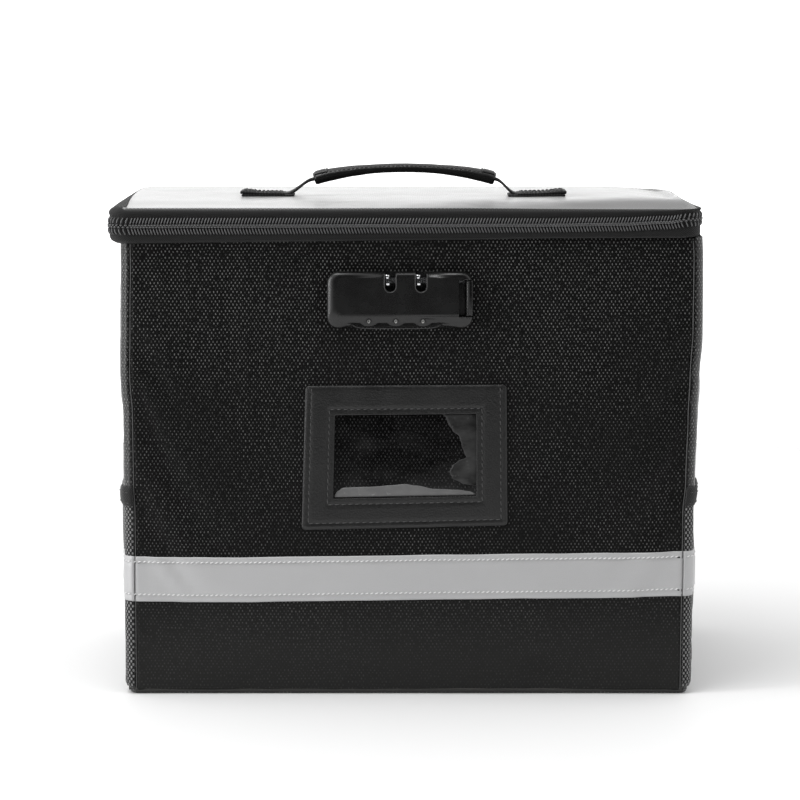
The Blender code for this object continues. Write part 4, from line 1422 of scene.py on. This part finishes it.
def lid_tape():
    """The knitted tape that rises from the zip and rolls over the lid's side edges."""
    top = {"front": 5.0, "side_front": 9.6, "side_rear": 6.4, "right": 5.6}
    rings = {}

    def surface(row):
        key = round(row * 8) / 8
        if key not in rings:
            rings[key] = lid_surface(key)
        return rings[key]

    loop = lid_loop(4.0 * MM, 13 * MM)
    order = sorted((i for i, (p, n) in enumerate(loop) if p.y < ZIP_REAR),
                   key=lambda i: (i - len(loop) // 2) % len(loop))
    reach = []
    for i in order:
        p, n = loop[i]
        side = smooth((abs(n.x) - 0.25) / 0.6)
        deep = smooth((p.y + HALF_Y) / (1.9 * HALF_Y))
        across = top["right"] if p.x > 0 else mix(top["side_front"], top["side_rear"], deep)
        reach.append(mix(top["front"], across, side))
    rows = []
    for r in range(25):
        row = []
        for k, i in enumerate(order):
            where = mix(0.2, reach[k], r / 24)
            low = int(where * 8) / 8
            p = surface(low)[i].lerp(surface(low + 0.125)[i], (where - low) * 8)
            edge = min(r, 24 - r) / 24
            lift = (0.16 + 0.34 * smooth(edge * 4)) * MM
            row.append((p + lid_out(surface, low, i) * lift, (k * 4 * MM, r * 0.5 * MM)))
        rows.append(row)
    cloth_piece("lid_edge_tape", rows, 0.55 * MM, "lid", "zip_tape", "zip_tape")


def lid_out(surface, row, i):
    """Outward direction of the lid's surface at a row and a place round its loop."""
    ahead, behind = surface(row + 0.5)[i], surface(max(row - 0.5, 0.0))[i]
    ring_points = surface(row)
    along = ring_points[(i + 1) % len(ring_points)] - ring_points[i - 1]
    return along.cross(ahead - behind).normalized()


lid_tape()
lid_stiffener()


def lid_lining():
    """The padded lining under the lid, quilted by a row of stitches near its edge."""
    low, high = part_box("lid_lining")
    rows = []
    for inset, up in ((0.0, 5.2), (0.0, 2.6), (0.8, 0.9), (2.4, 0.2), (6.0, 0.0), (9.0, 0.9),
                      (12.0, 0.1), (24.0, -0.15), (45.0, -0.2), (75.0, -0.2), (105.0, -0.2),
                      (117.5, -0.2)):
        row = []
        half_y = max(high.y - inset * MM, 0.8 * MM)
        for p, n in ring_fixed(high.x - inset * MM, half_y, max(8.0 - inset, 0.6) * MM):
            z = low.z + (up + 0.35) * MM + 0.15 * MM * wobble(p.x, p.y, 0, 20.0, 8.0)
            row.append((p + Vector((0, 0, z)), (p.x, p.y)))
        rows.append(row)
    ob = cloth_piece("lid_lining_pad", rows, 0.5 * MM, "lid", "lining", "lining", ["lid_lining"],
                     1.0, wrap=True, close=True)
    edge = 9.0 * MM
    line = [p + Vector((0, 0, low.z + 1.15 * MM))
            for p, n in ring_fixed(high.x - edge, high.y - edge, 2 * MM)]
    line.append(line[0])
    stitches("lid_lining_stitches", [line], (0, 0, -1), 4.0 * MM, 2.8 * MM, 0.3 * MM, body="lid",
             material="grey_thread")


lid_lining()


def liner_tray():
    """The sewn inner tray."""
    low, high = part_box("liner")
    wall = 0.8 * MM
    rows = []
    for inset, z in ((wall, high.z), (wall, 0.26), (wall + 0.3 * MM, 0.2), (wall + 0.4 * MM, 0.12),
                     (wall + 0.3 * MM, 0.05), (wall, low.z + 6 * MM),
                     (wall + 1.2 * MM, low.z + 2.2 * MM), (4 * MM, low.z + wall),
                     (30 * MM, low.z + wall), (80 * MM, low.z + wall), (112 * MM, low.z + wall)):
        row = []
        for p, n in ring_fixed(high.x - inset, high.y - inset, 2 * MM):
            ripple = 0.3 * MM * wobble(p.x, p.y, z, 18.0, 6.0) if inset < 1.3 * MM else 0
            flat = abs(n.x) > abs(n.y)
            uv = (p.y if flat else p.x, z if inset < 3 * MM else (p.x if flat else p.y))
            row.append((leaned(p - n * abs(ripple) + Vector((0, 0, z))), uv))
        rows.append(row)
    cloth_piece("liner_cloth", rows, 0.7 * MM, "bag", "lining", "lining", ["liner"], 1.0,
                wrap=True, close=True)


def rim_binding():
    """The binding over the boards' upper edges."""
    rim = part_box("board_front")[1].z
    middle_x, middle_y = HALF_X - 4.2 * MM, HALF_Y - 4.2 * MM
    rows = []
    for out, up in ((2.4, -7.0), (2.55, -2.5), (2.1, 0.0), (0.8, 0.9), (-1.4, 0.9), (-2.9, 0.0),
                    (-3.3, -3.0), (-3.3, -9.0)):
        row = []
        for p, n in ring_fixed(middle_x + out * MM, middle_y + out * MM,
                               max(3.5 + out, 0.6) * MM):
            row.append((leaned(p + Vector((0, 0, rim + up * MM))), (p.x + p.y, up * MM)))
        rows.append(row)
    cloth_piece("rim_binding", rows, 0.25 * MM, "bag", "webbing", "binding", levels=1, wrap=True)


liner_tray()
rim_binding()


def hinge_cloth():
    """The fabric hinge across the back; the real one bends as the lid opens, this one is a fixed
    sheet.
    """
    low_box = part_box("hinge_leaf_lower")
    up_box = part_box("hinge_leaf_upper")
    half = low_box[1].x
    out = low_box[1].y - 0.1 * MM
    rows = []
    for i in range(35):
        z = mix(low_box[0].z, up_box[1].z, i / 34)
        row = []
        for c in range(81):
            x = mix(half, -half, c / 80)
            row.append((Vector((x, out + 0.15 * MM * wobble(x, 0, z, 30.0, 11.0), z)), (x, z)))
        rows.append(row)
    ob = thicken(grid_piece("hinge_cloth", rows), 0.9 * MM)
    bend_piece(ob, "fabric_side", ["hinge_leaf_lower", "hinge_leaf_upper"])
    lines = []
    for z in (low_box[0].z + 2.0 * MM, low_box[0].z + 4.6 * MM):
        lines.append([Vector((mix(half - 2 * MM, -half + 2 * MM, i / 60), out + 0.15 * MM, z))
                      for i in range(61)])
    stitches("hinge_stitches", lines, (0, 1, 0), 3.4 * MM, 2.4 * MM, 0.28 * MM)


hinge_cloth()


# ---- handle -----------------------------------------------------------------------------------
FOOT_THICK = 1.45 * MM


def foot_fold(t):
    """How much of the webbing's outer fold there is at a share along a foot."""
    return bell(t, 0.10, 0.24)


def foot(label):
    """A folded, box-stitched end of the handle webbing, thicker at its outer fold."""
    low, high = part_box("handle_foot_" + label)
    side = -1 if label == "left" else 1
    outer, inner = (low.x, high.x) if side < 0 else (high.x, low.x)
    spans = ((outer - side * 0.8 * MM, inner - side * 6 * MM), (outer, inner))
    for layer, (x0, x1) in enumerate(spans):
        rows = []
        for c in range(29):
            t = c / 28
            x = mix(x0, x1, t)
            level = 0.05 * MM + FOOT_THICK + layer * (
                FOOT_THICK - 0.5 * MM * t + 1.1 * MM * foot_fold(t))
            row = []
            for k in range(15):
                y = mix(-high.y, high.y, k / 14)
                quilt = math.sin(x / (1.3 * MM) + y / (1.5 * MM))
                quilt *= 0.09 * MM * layer * math.sin(x / (1.3 * MM) - y / (1.5 * MM))
                row.append(on_lid(x, y, level + quilt))
            rows.append(row)

        def depth(r, c):
            return FOOT_THICK + layer * (0.9 * MM * foot_fold(r / 28) - 0.45 * MM * r / 28)
        ob = slab("handle_foot_%s_layer_%d" % (label, layer + 1), rows, below(rows, depth))
        finish_piece(ob, "lid", "webbing", ["handle_foot_" + label] if layer else ())
    inset = 2.4 * MM
    x0, x1, y0, y1 = low.x + inset, high.x - inset, low.y + inset, high.y - inset
    lines = []
    corners = ((x0, y0), (x1, y0), (x1, y1), (x0, y1), (x0, y0), (x1, y1), (x0, y1), (x1, y0))
    for a, b in zip(corners, corners[1:]):
        line = []
        for i in range(13):
            x, y = mix(a[0], b[0], i / 12), mix(a[1], b[1], i / 12)
            t = (x - outer) / (inner - outer)
            level = 0.15 * MM + 2 * FOOT_THICK - 0.5 * MM * t + 1.1 * MM * foot_fold(t)
            line.append(on_lid(x, y, level))
        lines.append(line)
    stitches("foot_stitches_" + label, lines, (0, 0, 1), 2.9 * MM, 2.2 * MM, 0.36 * MM, "lid")


foot("left")
foot("right")

GRIP_LOW, GRIP_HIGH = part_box("handle_grip")
GRIP_LEFT, GRIP_RIGHT = GRIP_LOW.x, GRIP_HIGH.x
GRIP_RADIUS = 4.2 * MM
GRIP_TOP = GRIP_HIGH.z - 0.68 * GRIP_RADIUS
GRIP_END = GRIP_TOP - 7.4 * MM


def grip_rise(t):
    """The arch of the grip: steep near its ends and nearly level in the middle."""
    power = 0.6
    start = math.sin(math.pi * 0.03) ** power
    return (math.sin(math.pi * (0.03 + 0.94 * t)) ** power - start) / (1 - start)


def grip_axis(t):
    """The middle of the grip at a share t from its left end to its right."""
    x = mix(GRIP_LEFT + 0.3 * MM, GRIP_RIGHT - 0.3 * MM, t)
    return Vector((x, 0, mix(GRIP_END, GRIP_TOP, grip_rise(t))))


def grip_radius(t):
    return GRIP_RADIUS * (1 - 0.32 * smooth(min(t, 1 - t) * 2.6))


def grip():
    rows = []
    count, sides = 110, 40
    length = GRIP_RIGHT - GRIP_LEFT
    for i in range(count + 1):
        t = i / count
        centre = grip_axis(t)
        way = (grip_axis(min(t + 0.02, 1)) - grip_axis(max(t - 0.02, 0))).normalized()
        lift = Vector((-way.z, 0, way.x))
        r = grip_radius(t)
        close = 1 - 0.16 * bell(min(t, 1 - t) * length, 0, 0.7 * MM)
        row = []
        for k in range(sides):
            a = 2 * math.pi * k / sides
            c, s = math.cos(a), math.sin(a)
            wide = r * 1.42 * math.copysign(abs(c) ** 0.9, c)
            tall = r * (1.04 if s > 0 else 0.98) * math.copysign(abs(s) ** 0.95, s)
            crease = 0.35 * MM * bell(a, 0.55 * math.pi, 0.10)
            groove = 0.35 * MM * bell(a, 1.22 * math.pi, 0.08)
            wrinkle = 0.12 * MM * wobble(t * 6, c, s, 3.0, 1.0)
            p = centre + (Vector((0, 1, 0)) * wide + lift * tall) * close
            p += (Vector((0, c, 0)) + lift * s) * (crease - groove + wrinkle)
            row.append((p, (t * length, a * r)))
        rows.append(row)
    verts = [p for row in rows for p, uv in row]
    uvs = [uv for row in rows for p, uv in row]
    faces = grid_faces(len(rows), sides, True)
    for first, inward in ((0, 1), (count * sides, -1)):
        mid = len(verts)
        centre = sum((verts[first + k] for k in range(sides)), Vector()) / sides
        verts.append(centre + Vector((inward * 1.4 * MM, 0, 0)))
        uvs.append((0, 0))
        faces += [(mid, first + k, first + (k + 1) % sides) for k in range(sides)]
    ob = mesh_piece("handle_grip_leather", verts, faces, uvs)
    tidy_normals(ob)
    finish_piece(ob, "handle", "grip", ["handle_grip"])
    line = []
    for i in range(70):
        t = mix(0.03, 0.97, i / 69)
        r = grip_radius(t)
        line.append(grip_axis(t) + Vector((0, -r * 1.25, r * 0.62)))
    stitches("grip_stitches", [line], Vector((0, -0.75, 0.66)), 3.0 * MM, 2.1 * MM, 0.22 * MM,
             body="handle")


grip()


def grip_tabs():
    """Small folded leather tabs that close the sleeve at each end of the grip."""
    for label, t0, t1 in (("left", 0.0, 0.075), ("right", 0.925, 1.0)):
        rows = []
        for i in range(9):
            t = mix(t0, t1, i / 8)
            r = grip_radius(t)
            row = []
            for k in range(13):
                y = mix(-5.2 * MM, 5.2 * MM, k / 12)
                crown = math.sqrt(max(1 - (y / (r * 1.55)) ** 2, 0.05))
                z = grip_axis(t).z + r * 1.05 * crown + 1.0 * MM
                row.append(Vector((grip_axis(t).x, y, z)))
            rows.append(row)
        ob = slab("grip_tab_" + label, rows, below(rows, lambda r, c: 1.3 * MM))
        finish_piece(ob, "handle", "grip")
        edge = t1 - 0.012 if label == "left" else t0 + 0.012
        spot = grip_axis(edge) + Vector((0, -3.6 * MM, grip_radius(edge) * 0.9 + 0.9 * MM))
        stitches("tab_stitch_" + label, [[spot, spot + Vector((0, 3.2 * MM, 0.5 * MM))]],
                 (0, -0.3, 1), 3.2 * MM, 2.4 * MM, 0.42 * MM, body="handle",
                 material="grey_thread")


grip_tabs()


def strap(label):
    """The webbing between a foot and the grip; the real one twists as the handle tilts, this one is
    fixed.
    """
    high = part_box("handle_strap_" + label)[1]
    side = -1 if label == "left" else 1
    foot_low, foot_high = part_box("handle_foot_" + label)
    foot_end = foot_high.x if side < 0 else foot_low.x
    grip_end = GRIP_LEFT if side < 0 else GRIP_RIGHT
    root, end = foot_end + side * 7 * MM, grip_end - side * 6 * MM
    base = on_lid(foot_end, 0).z
    half = high.y
    rows = []
    for i in range(45):
        x = mix(root, end, i / 44)
        run = (x - foot_end) / (grip_end - foot_end)
        z = mix(base + 2.3 * MM, GRIP_END + 1.3 * MM, smooth(run * 0.98 + 0.01))
        z += max(run - 1, 0) * abs(grip_end - foot_end) * 0.45
        narrow = mix(1.0, 0.50, smooth((run - 0.40) / 0.55))
        row = []
        for k in range(11):
            y = mix(-half, half, k / 10) * narrow
            curl = 0.5 * MM * (abs(y) / half) ** 2 * smooth(run)
            row.append(Vector((x, y, z - curl)))
        rows.append(row)
    ob = slab("handle_strap_cloth_" + label, rows, below(rows, lambda r, c: 2.2 * MM))
    bend_piece(ob, "webbing", ["handle_strap_" + label])


strap("left")
strap("right")


# ---- ID pocket --------------------------------------------------------------------------------
ID_LOW, ID_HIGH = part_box("id_frame")
WINDOW_LOW, WINDOW_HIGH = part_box("id_window")
WINDOW_LAP = 3 * MM
OPEN_LOW = Vector((WINDOW_LOW.x + WINDOW_LAP, 0, WINDOW_LOW.z + WINDOW_LAP))
OPEN_HIGH = Vector((WINDOW_HIGH.x - WINDOW_LAP, 0, WINDOW_HIGH.z - WINDOW_LAP))
OUTER_STITCH = 3.9 * MM
INNER_STITCH = 3.9 * MM


def skew(x, z):
    """The pocket is sewn a little wider at its foot and slightly out of square."""
    down = (ID_HIGH.z - z) / (ID_HIGH.z - ID_LOW.z)
    return x * (0.975 + 0.028 * down) - 0.9 * MM * down, z + x * mix(0.006, 0.022, down)


def id_frame():
    """The leather frame: its outer edge turned and sewn, its inner edge cut round the window."""
    outer_x, outer_z = ID_HIGH.x, (ID_HIGH.z - ID_LOW.z) / 2
    inner_x, inner_z = OPEN_HIGH.x, (OPEN_HIGH.z - OPEN_LOW.z) / 2
    outer_mid = (ID_HIGH.z + ID_LOW.z) / 2
    inner_mid = (OPEN_HIGH.z + OPEN_LOW.z) / 2
    border = outer_x - inner_x
    shares = (0.0, 0.012, 0.03, 0.06, 0.10, 0.15, 0.18, 0.20, 0.22, 0.26, 0.34, 0.44, 0.54, 0.64,
              0.72, 0.76, 0.79, 0.81, 0.84, 0.88, 0.93, 0.97, 1.0)
    rows = []
    for t in shares:
        half_x, half_z = mix(outer_x, inner_x, t), mix(outer_z, inner_z, t)
        middle = mix(outer_mid, inner_mid, t)
        to_outer, to_inner = t * border, (1 - t) * border
        row = []
        for p, n in ring_fixed(half_x, half_z, mix(2.5, 0.8, t) * MM, 60, 40, 6):
            x, z = skew(p.x, middle + p.y)
            sewn = 0.0 if n.y > 0.7 else 1.0
            puff = 0.95 * MM * (1 - math.exp(-to_outer / (1.0 * MM)))
            puff -= 0.50 * MM * sewn * bell(to_outer, OUTER_STITCH, 0.9 * MM)
            puff -= 0.50 * MM * bell(to_inner, INNER_STITCH, 0.9 * MM)
            puff += 0.20 * MM * wobble(x, 0, z, 50.0, 12.0)
            row.append((on_front(x, z, 1.0 * MM + puff), (x, z)))
        rows.append(row)
    cloth_piece("id_frame_leather", rows, 1.0 * MM, "bag", "leather", "leather", ["id_frame"],
                wrap=True)

    def run(a, b):
        found = []
        for i in range(25):
            x, z = skew(mix(a[0], b[0], i / 24), mix(a[1], b[1], i / 24))
            found.append(on_front(x, z, 1.60 * MM))
        return found

    e = OUTER_STITCH
    x0, x1, z0, z1 = -outer_x + e, outer_x - e, ID_LOW.z + e, ID_HIGH.z - 0.8 * MM
    lines = [run((x0, z1), (x0, z0)), run((x0, z0), (x1, z0)), run((x1, z0), (x1, z1))]
    e = INNER_STITCH
    x0, x1, z0, z1 = -inner_x - e, inner_x + e, OPEN_LOW.z - e, OPEN_HIGH.z + e
    lines += [run((x0, z0), (x1, z0)), run((x1, z0), (x1, z1)), run((x1, z1), (x0, z1)),
              run((x0, z1), (x0, z0))]
    stitches("id_stitches", lines, (0, -1, 0), 4.3 * MM, 2.7 * MM, 0.36 * MM,
             slant=0.15, material="bright_thread")


def window_lift(x, z):
    return 0.35 * MM + 0.22 * MM * (0.5 + 0.5 * wobble(x, 0, z, 45.0, 9.0))


def id_window():
    """The clear film behind the frame."""
    rows = []
    for r in range(41):
        row = []
        for c in range(61):
            x, z = skew(mix(WINDOW_LOW.x, WINDOW_HIGH.x, c / 60),
                        mix(WINDOW_LOW.z, WINDOW_HIGH.z, r / 40))
            row.append((on_front(x, z, window_lift(x, z)), (x, z)))
        rows.append(row)
    cloth_piece("id_window_film", rows, 0.12 * MM, "bag", "window", "film", ["id_window"])


# Shares of the opening, in percent: top edge of the curled foot against the distance from the
# left, and left edge of the creased part against the height
CURL_TOP = ((0, 4), (2, 9), (6, 13), (25, 13.5), (42, 15), (50, 16), (58, 14), (72, 9.5),
            (88, 8), (96, 6), (100, 3))
CREASE_LEFT = ((12, 98), (16, 89), (22, 83), (30, 81), (37, 83), (43, 87), (47, 93), (52, 91.5),
               (62, 89.5), (72, 88), (80, 83), (88, 80), (95, 78.5), (100, 76))


def film_patch(name, material, corner):
    """A turned-up part of the film: corner(a, b) gives its (u, v) share of the opening."""
    rows = []
    for r in range(13):
        row = []
        for c in range(61):
            u, v = corner(c / 60, r / 12)
            x, z = skew(mix(OPEN_LOW.x, OPEN_HIGH.x, u), mix(OPEN_LOW.z, OPEN_HIGH.z, v))
            crest = 0.28 * MM * math.sin(math.pi * r / 12)
            row.append((on_front(x, z, window_lift(x, z) + 0.06 * MM + crest), (x, z)))
        rows.append(row)
    cloth_piece(name, rows, 0.05 * MM, "bag", "window", material)


def id_window_folds():
    # Both turned-up parts carry painted reflections in their colour.
    film_patch("id_window_curl_painted_reflection", "film_bright", lambda a,
               b: (mix(0.01, 0.99, a), mix(0.015, between(CURL_TOP, a * 100) / 100, b)))
    film_patch("id_window_crease_painted_reflection", "film_painted_dim_reflection", lambda a,
               b: (mix(between(CREASE_LEFT, mix(12, 100, a)) / 100, 1.01, b), mix(0.12, 1.0, a)))


id_frame()
id_window()
id_window_folds()


# ---- lock -------------------------------------------------------------------------------------
LOCK_LOW, LOCK_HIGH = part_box("lock_cover")
LOCK_FRONT = LOCK_LOW.y
DIALS = {name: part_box(name) for name in ("dial_1", "dial_2", "dial_3")}
SOCKET_MIDDLES = (-9.9 * MM, 9.6 * MM)
SOCKET_HALF = 3.6 * MM
SOCKET_FOOT = LOCK_LOW.z + 22.9 * MM
CATCH_Z = (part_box("release_bar")[0].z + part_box("release_bar")[1].z) / 2


def turned(name, parts):
    """Closed parts in one piece, all facing outward."""
    ob = joined(name, parts)
    tidy_normals(ob)
    return ob


def lock_shell():
    """The cover's outer shape: a plate with broad soft shoulders, widest at its left and foot."""
    # depth behind the face, then how far each edge (left, right, foot, top) is set in, in mm
    sections = ((8.2, 0.0, 0.0, 0.0, 0.0), (3.4, 0.0, 0.0, 0.0, 0.0), (2.6, 0.25, 0.2, 0.5, 0.1),
                (1.9, 0.9, 0.5, 1.7, 0.3), (1.3, 1.8, 0.9, 3.2, 0.6), (0.75, 2.8, 1.4, 4.9, 1.0),
                (0.35, 3.7, 1.9, 6.3, 1.5), (0.12, 4.5, 2.4, 7.3, 2.1),
                (0.02, 5.5, 3.2, 8.4, 3.0), (0.0, 6.2, 3.7, 9.1, 3.5))
    rows = []
    corner, turn = 7.0 * MM, 12
    for deep, left, right, foot_in, top in sections:
        x0, x1 = LOCK_LOW.x + left * MM, LOCK_HIGH.x - right * MM
        z0, z1 = LOCK_LOW.z + foot_in * MM, LOCK_HIGH.z - top * MM
        r = corner - 0.35 * left * MM
        row = []
        for cx, cz, start in ((x1 - r, z0 + r, 270), (x1 - r, z1 - r, 0), (x0 + r, z1 - r, 90),
                              (x0 + r, z0 + r, 180)):
            for i in range(turn + 1):
                a = math.radians(start + 90 * i / turn)
                row.append(Vector((cx + r * math.cos(a), LOCK_FRONT + deep * MM,
                                   cz + r * math.sin(a))))
        rows.append(row)
    return turned("lock_cover_moulded", [capped(rows)])


def carve(ob, cutter, operation="DIFFERENCE"):
    """Cut a shape out of a piece, and drop the cutter."""
    mod = ob.modifiers.new("carve", "BOOLEAN")
    mod.operation = operation
    mod.object = cutter
    mod.solver = "EXACT"
    apply_modifiers(ob)
    bpy.data.objects.remove(cutter, do_unlink=True)


def sharpen(ob, degrees=32):
    ob.data.shade_smooth()
    ob.data.set_sharp_from_angle(angle=math.radians(degrees))


def crease_face(ob):
    """Keep the shoulder's shading off the level front face, and off the walls of its cuts."""
    bm = bmesh.new()
    bm.from_mesh(ob.data)
    for edge in bm.edges:
        if any(face.normal.y < -0.9999 for face in edge.link_faces):
            edge.smooth = False
    bm.to_mesh(ob.data)
    bm.free()


def block(name, low, high):
    verts = [Vector((x, y, z)) for x in (low[0], high[0]) for y in (low[1], high[1])
             for z in (low[2], high[2])]
    faces = [(0, 1, 3, 2), (4, 6, 7, 5), (0, 4, 5, 1), (2, 3, 7, 6), (0, 2, 6, 4), (1, 5, 7, 3)]
    ob = mesh_piece(name, verts, faces, None, False)
    tidy_normals(ob)
    return ob


def lock_cover():
    shell = lock_shell()
    for x in SOCKET_MIDDLES:
        carve(shell, block("hook_room", (x - SOCKET_HALF - 3.2 * MM, LOCK_FRONT + 1.1 * MM,
                                         SOCKET_FOOT + 2.0 * MM),
                           (x, LOCK_FRONT + 9 * MM, LOCK_HIGH.z - 0.7 * MM)))
    inner = bpy.data.objects.new("lock_cover_inner", frame["nodes"]["lock_cover"].data.copy())
    bpy.context.scene.collection.objects.link(inner)
    carve(shell, inner, "INTERSECT")
    sharpen(shell)
    crease_face(shell)
    return finish_piece(shell, "bag", "lock", ["lock_cover"])


def lock_rims():
    """Raised lips round the two sockets, and the base plate's edge that shows under the cover, in a
    lighter plastic as painted highlights along these edges.
    """
    parts = []
    for x in SOCKET_MIDDLES:
        r = SOCKET_HALF + 0.15 * MM
        y, z = LOCK_FRONT + 0.1 * MM, LOCK_HIGH.z
        path = [Vector((x - r, y + 0.4 * MM, z - 1.2 * MM)), Vector((x - r, y, z - 2.8 * MM))]
        for i in range(17):
            a = math.radians(180 + 180 * i / 16)
            path.append(Vector((x + r * math.cos(a), y,
                                SOCKET_FOOT + SOCKET_HALF + r * math.sin(a))))
        path += [Vector((x + r, y, z - 2.8 * MM)), Vector((x + r, y + 0.4 * MM, z - 1.2 * MM))]
        parts.append(tube_data(path, 0.36 * MM, 8, up=Vector((0, 1, 0))))
    finish_piece(joined("lock_socket_lips", parts), "bag", "lock_edge_highlight")
    left, right = DIALS["dial_1"][0].x - 2.6 * MM, DIALS["dial_3"][1].x + 3.0 * MM
    path = [Vector((mix(left, right, i / 40), LOCK_FRONT + 2.6 * MM,
                    LOCK_LOW.z - 0.25 * MM + 2.6 * MM * (abs(i / 20 - 1) ** 9)))
            for i in range(41)]
    ob = joined("lock_dial_guard", [tube_data(path, 0.32 * MM, 8, up=Vector((0, 1, 0)))])
    finish_piece(ob, "bag", "lock_edge_highlight")


def lathe(name, profile, centre, sides, knurl, count=40):
    """A disc turned about Y: profile is (radius, y) pairs; its rim is knurled."""
    rows = []
    for radius, y in profile:
        row = []
        for k in range(sides):
            a = 2 * math.pi * k / sides
            bite = knurl * (0.5 + 0.5 * math.cos(a * count)) * (radius > 0.9 * profile[2][0])
            r = radius * (1 - bite)
            row.append(centre + Vector((r * math.cos(a), y, r * math.sin(a))))
        rows.append(row)
    return turned(name, [capped(rows)])


def dials():
    """Three knurled number discs, each with its ten numerals round the face."""
    for name, (low, high) in DIALS.items():
        centre = Vector(((low.x + high.x) / 2, (low.y + high.y) / 2, (low.z + high.z) / 2))
        radius, half = (high.x - low.x) / 2, (high.y - low.y) / 2
        profile = ((1.9 * MM, half), (radius - 0.5 * MM, half), (radius, half - 0.35 * MM),
                   (radius, -half + 0.35 * MM), (radius - 0.5 * MM, -half), (1.9 * MM, -half))
        disc = lathe(name + "_disc", profile, centre, 160, 0.035)
        sharpen(disc, 40)
        finish_piece(disc, name, "dial", [name])
        parts = []
        reach = centre.z - (LOCK_LOW.z + 4.3 * MM)
        for digit in range(10):
            turn = Matrix.Rotation(math.radians(36 * digit), 4, "Y")
            for stroke in numeral_strokes(digit):
                path = [centre + turn @ Vector((x * MM, -half - 0.06 * MM, z * MM - reach))
                        for x, z in stroke]
                parts.append(tube_data(path, 0.20 * MM, 6, up=Vector((0, 1, 0))))
        finish_piece(joined(name + "_numerals", parts), name, "numeral")


def oval(cx, cz, rx, rz, start=90, end=450, count=18):
    return [(cx + rx * math.cos(math.radians(mix(start, end, i / count))),
             cz + rz * math.sin(math.radians(mix(start, end, i / count))))
            for i in range(count + 1)]


def numeral_strokes(digit):
    """Plain strokes of a numeral about 2 mm tall, centred on the origin, in mm."""
    w, h = 0.62, 0.98
    return {
        0: [oval(0, 0, w, h)],
        1: [[(-0.35, 0.55), (0.05, h), (0.05, -h)]],
        2: [oval(0, 0.45, w, 0.52, 170, -30, 10) + [(-w, -h), (w, -h)]],
        3: [oval(0, 0.48, w, 0.50, 150, -90, 10) + oval(0, -0.46, w, 0.52, 90, -150, 10)[1:]],
        4: [[(0.3, -h), (0.3, h), (-w, -0.35), (w, -0.35)]],
        5: [[(w, h), (-0.5, h), (-0.55, 0.1)] + oval(0, -0.38, w, 0.58, 120, -140, 10)],
        6: [[(0.35, h), (-0.45, 0.1)] + oval(0, -0.42, w, 0.56, 150, -210, 14)],
        7: [[(-w, h), (w, h), (-0.15, -h)]],
        8: [oval(0, 0.47, 0.5, 0.50), oval(0, -0.47, w, 0.52)],
        9: [oval(0, 0.42, w, 0.56, -30, 330, 14) + [(0.45, -0.1), (-0.35, -h)]],
    }[digit]


def release():
    """The ribbed thumb button and the polished catches behind the sockets."""
    low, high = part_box("release_button")
    wide = (high.x - low.x) / MM
    section = ((0.0, 3.6), (0.15, 1.9), (0.7, 1.0), (1.15, 0.25), (1.5, 0.0), (1.85, 0.25),
               (2.3, 1.1), (3.1, 1.35), (wide - 0.7, 0.9), (wide - 0.2, 1.1), (wide, 1.6),
               (wide, 3.6))
    levels = ((0.0, 0.9), (0.25, 0.3), (0.8, 0.0))
    heights = [(low.z + up * MM, inset) for up, inset in levels]
    heights += [(high.z - up * MM, inset) for up, inset in reversed(levels)]
    rows = []
    for z, inset in heights:
        rows.append([Vector((low.x + x * MM, low.y + (y + inset * (0.6 if y < 3 else 0)) * MM, z))
                     for x, y in section])
    ob = turned("release_thumb_button", [capped(rows)])
    sharpen(ob, 50)
    finish_piece(ob, "release", "lock", ["release_button"])
    parts = []
    for x in SOCKET_MIDDLES:
        for z0, z1, front, reach in ((CATCH_Z + 1.0 * MM, CATCH_Z + 3.8 * MM, 1.5, 2.9),
                                     (CATCH_Z - 3.4 * MM, CATCH_Z + 0.7 * MM, 1.9, 3.4)):
            rows = []
            for i in range(9):
                a = math.pi * i / 8
                z = mix(z0, z1, 0.5 - 0.5 * math.cos(a))
                y = LOCK_FRONT + (front + 1.0 * (1 - math.sin(a) ** 0.8)) * MM
                back = LOCK_FRONT + 6.4 * MM
                x0, x1 = x - SOCKET_HALF + 0.45 * MM, x - SOCKET_HALF + reach * MM
                rows.append([Vector((x0, back, z)), Vector((x0, y + 0.3 * MM, z)),
                             Vector((x0 + 0.4 * MM, y, z)), Vector((x1 - 0.7 * MM, y, z)),
                             Vector((x1, y + 0.6 * MM, z)), Vector((x1, back, z))])
            parts.append(capped(rows))
    ob = turned("release_hooks", parts)
    sharpen(ob, 40)
    finish_piece(ob, "release", "chrome")


lock_cover()
lock_rims()
dials()
release()


# ---- CAD nodes that stay in view --------------------------------------------------------------
def dress(node, material, bevel=0.0):
    """A CAD node that stays in view gets its material and softened edges."""
    ob = frame["nodes"][node]
    for slot_ in ob.material_slots:
        slot_.material = MATERIALS[material]
    if bevel:
        mod = ob.modifiers.new("soft edge", "BEVEL")
        mod.width = bevel
        mod.segments = 2
        mod.limit_method = "ANGLE"
        mod.angle_limit = math.radians(40)


dress("lock_base", "lock", 0.15 * MM)
dress("release_bar", "chrome", 0.1 * MM)
for node_name in ("slider_front", "slider_rear", "pull_front", "pull_rear", "zip_stop_left",
                  "zip_stop_right", "lock_backplate"):
    dress(node_name, "black_metal", 0.15 * MM)
dress("board_base", "board")
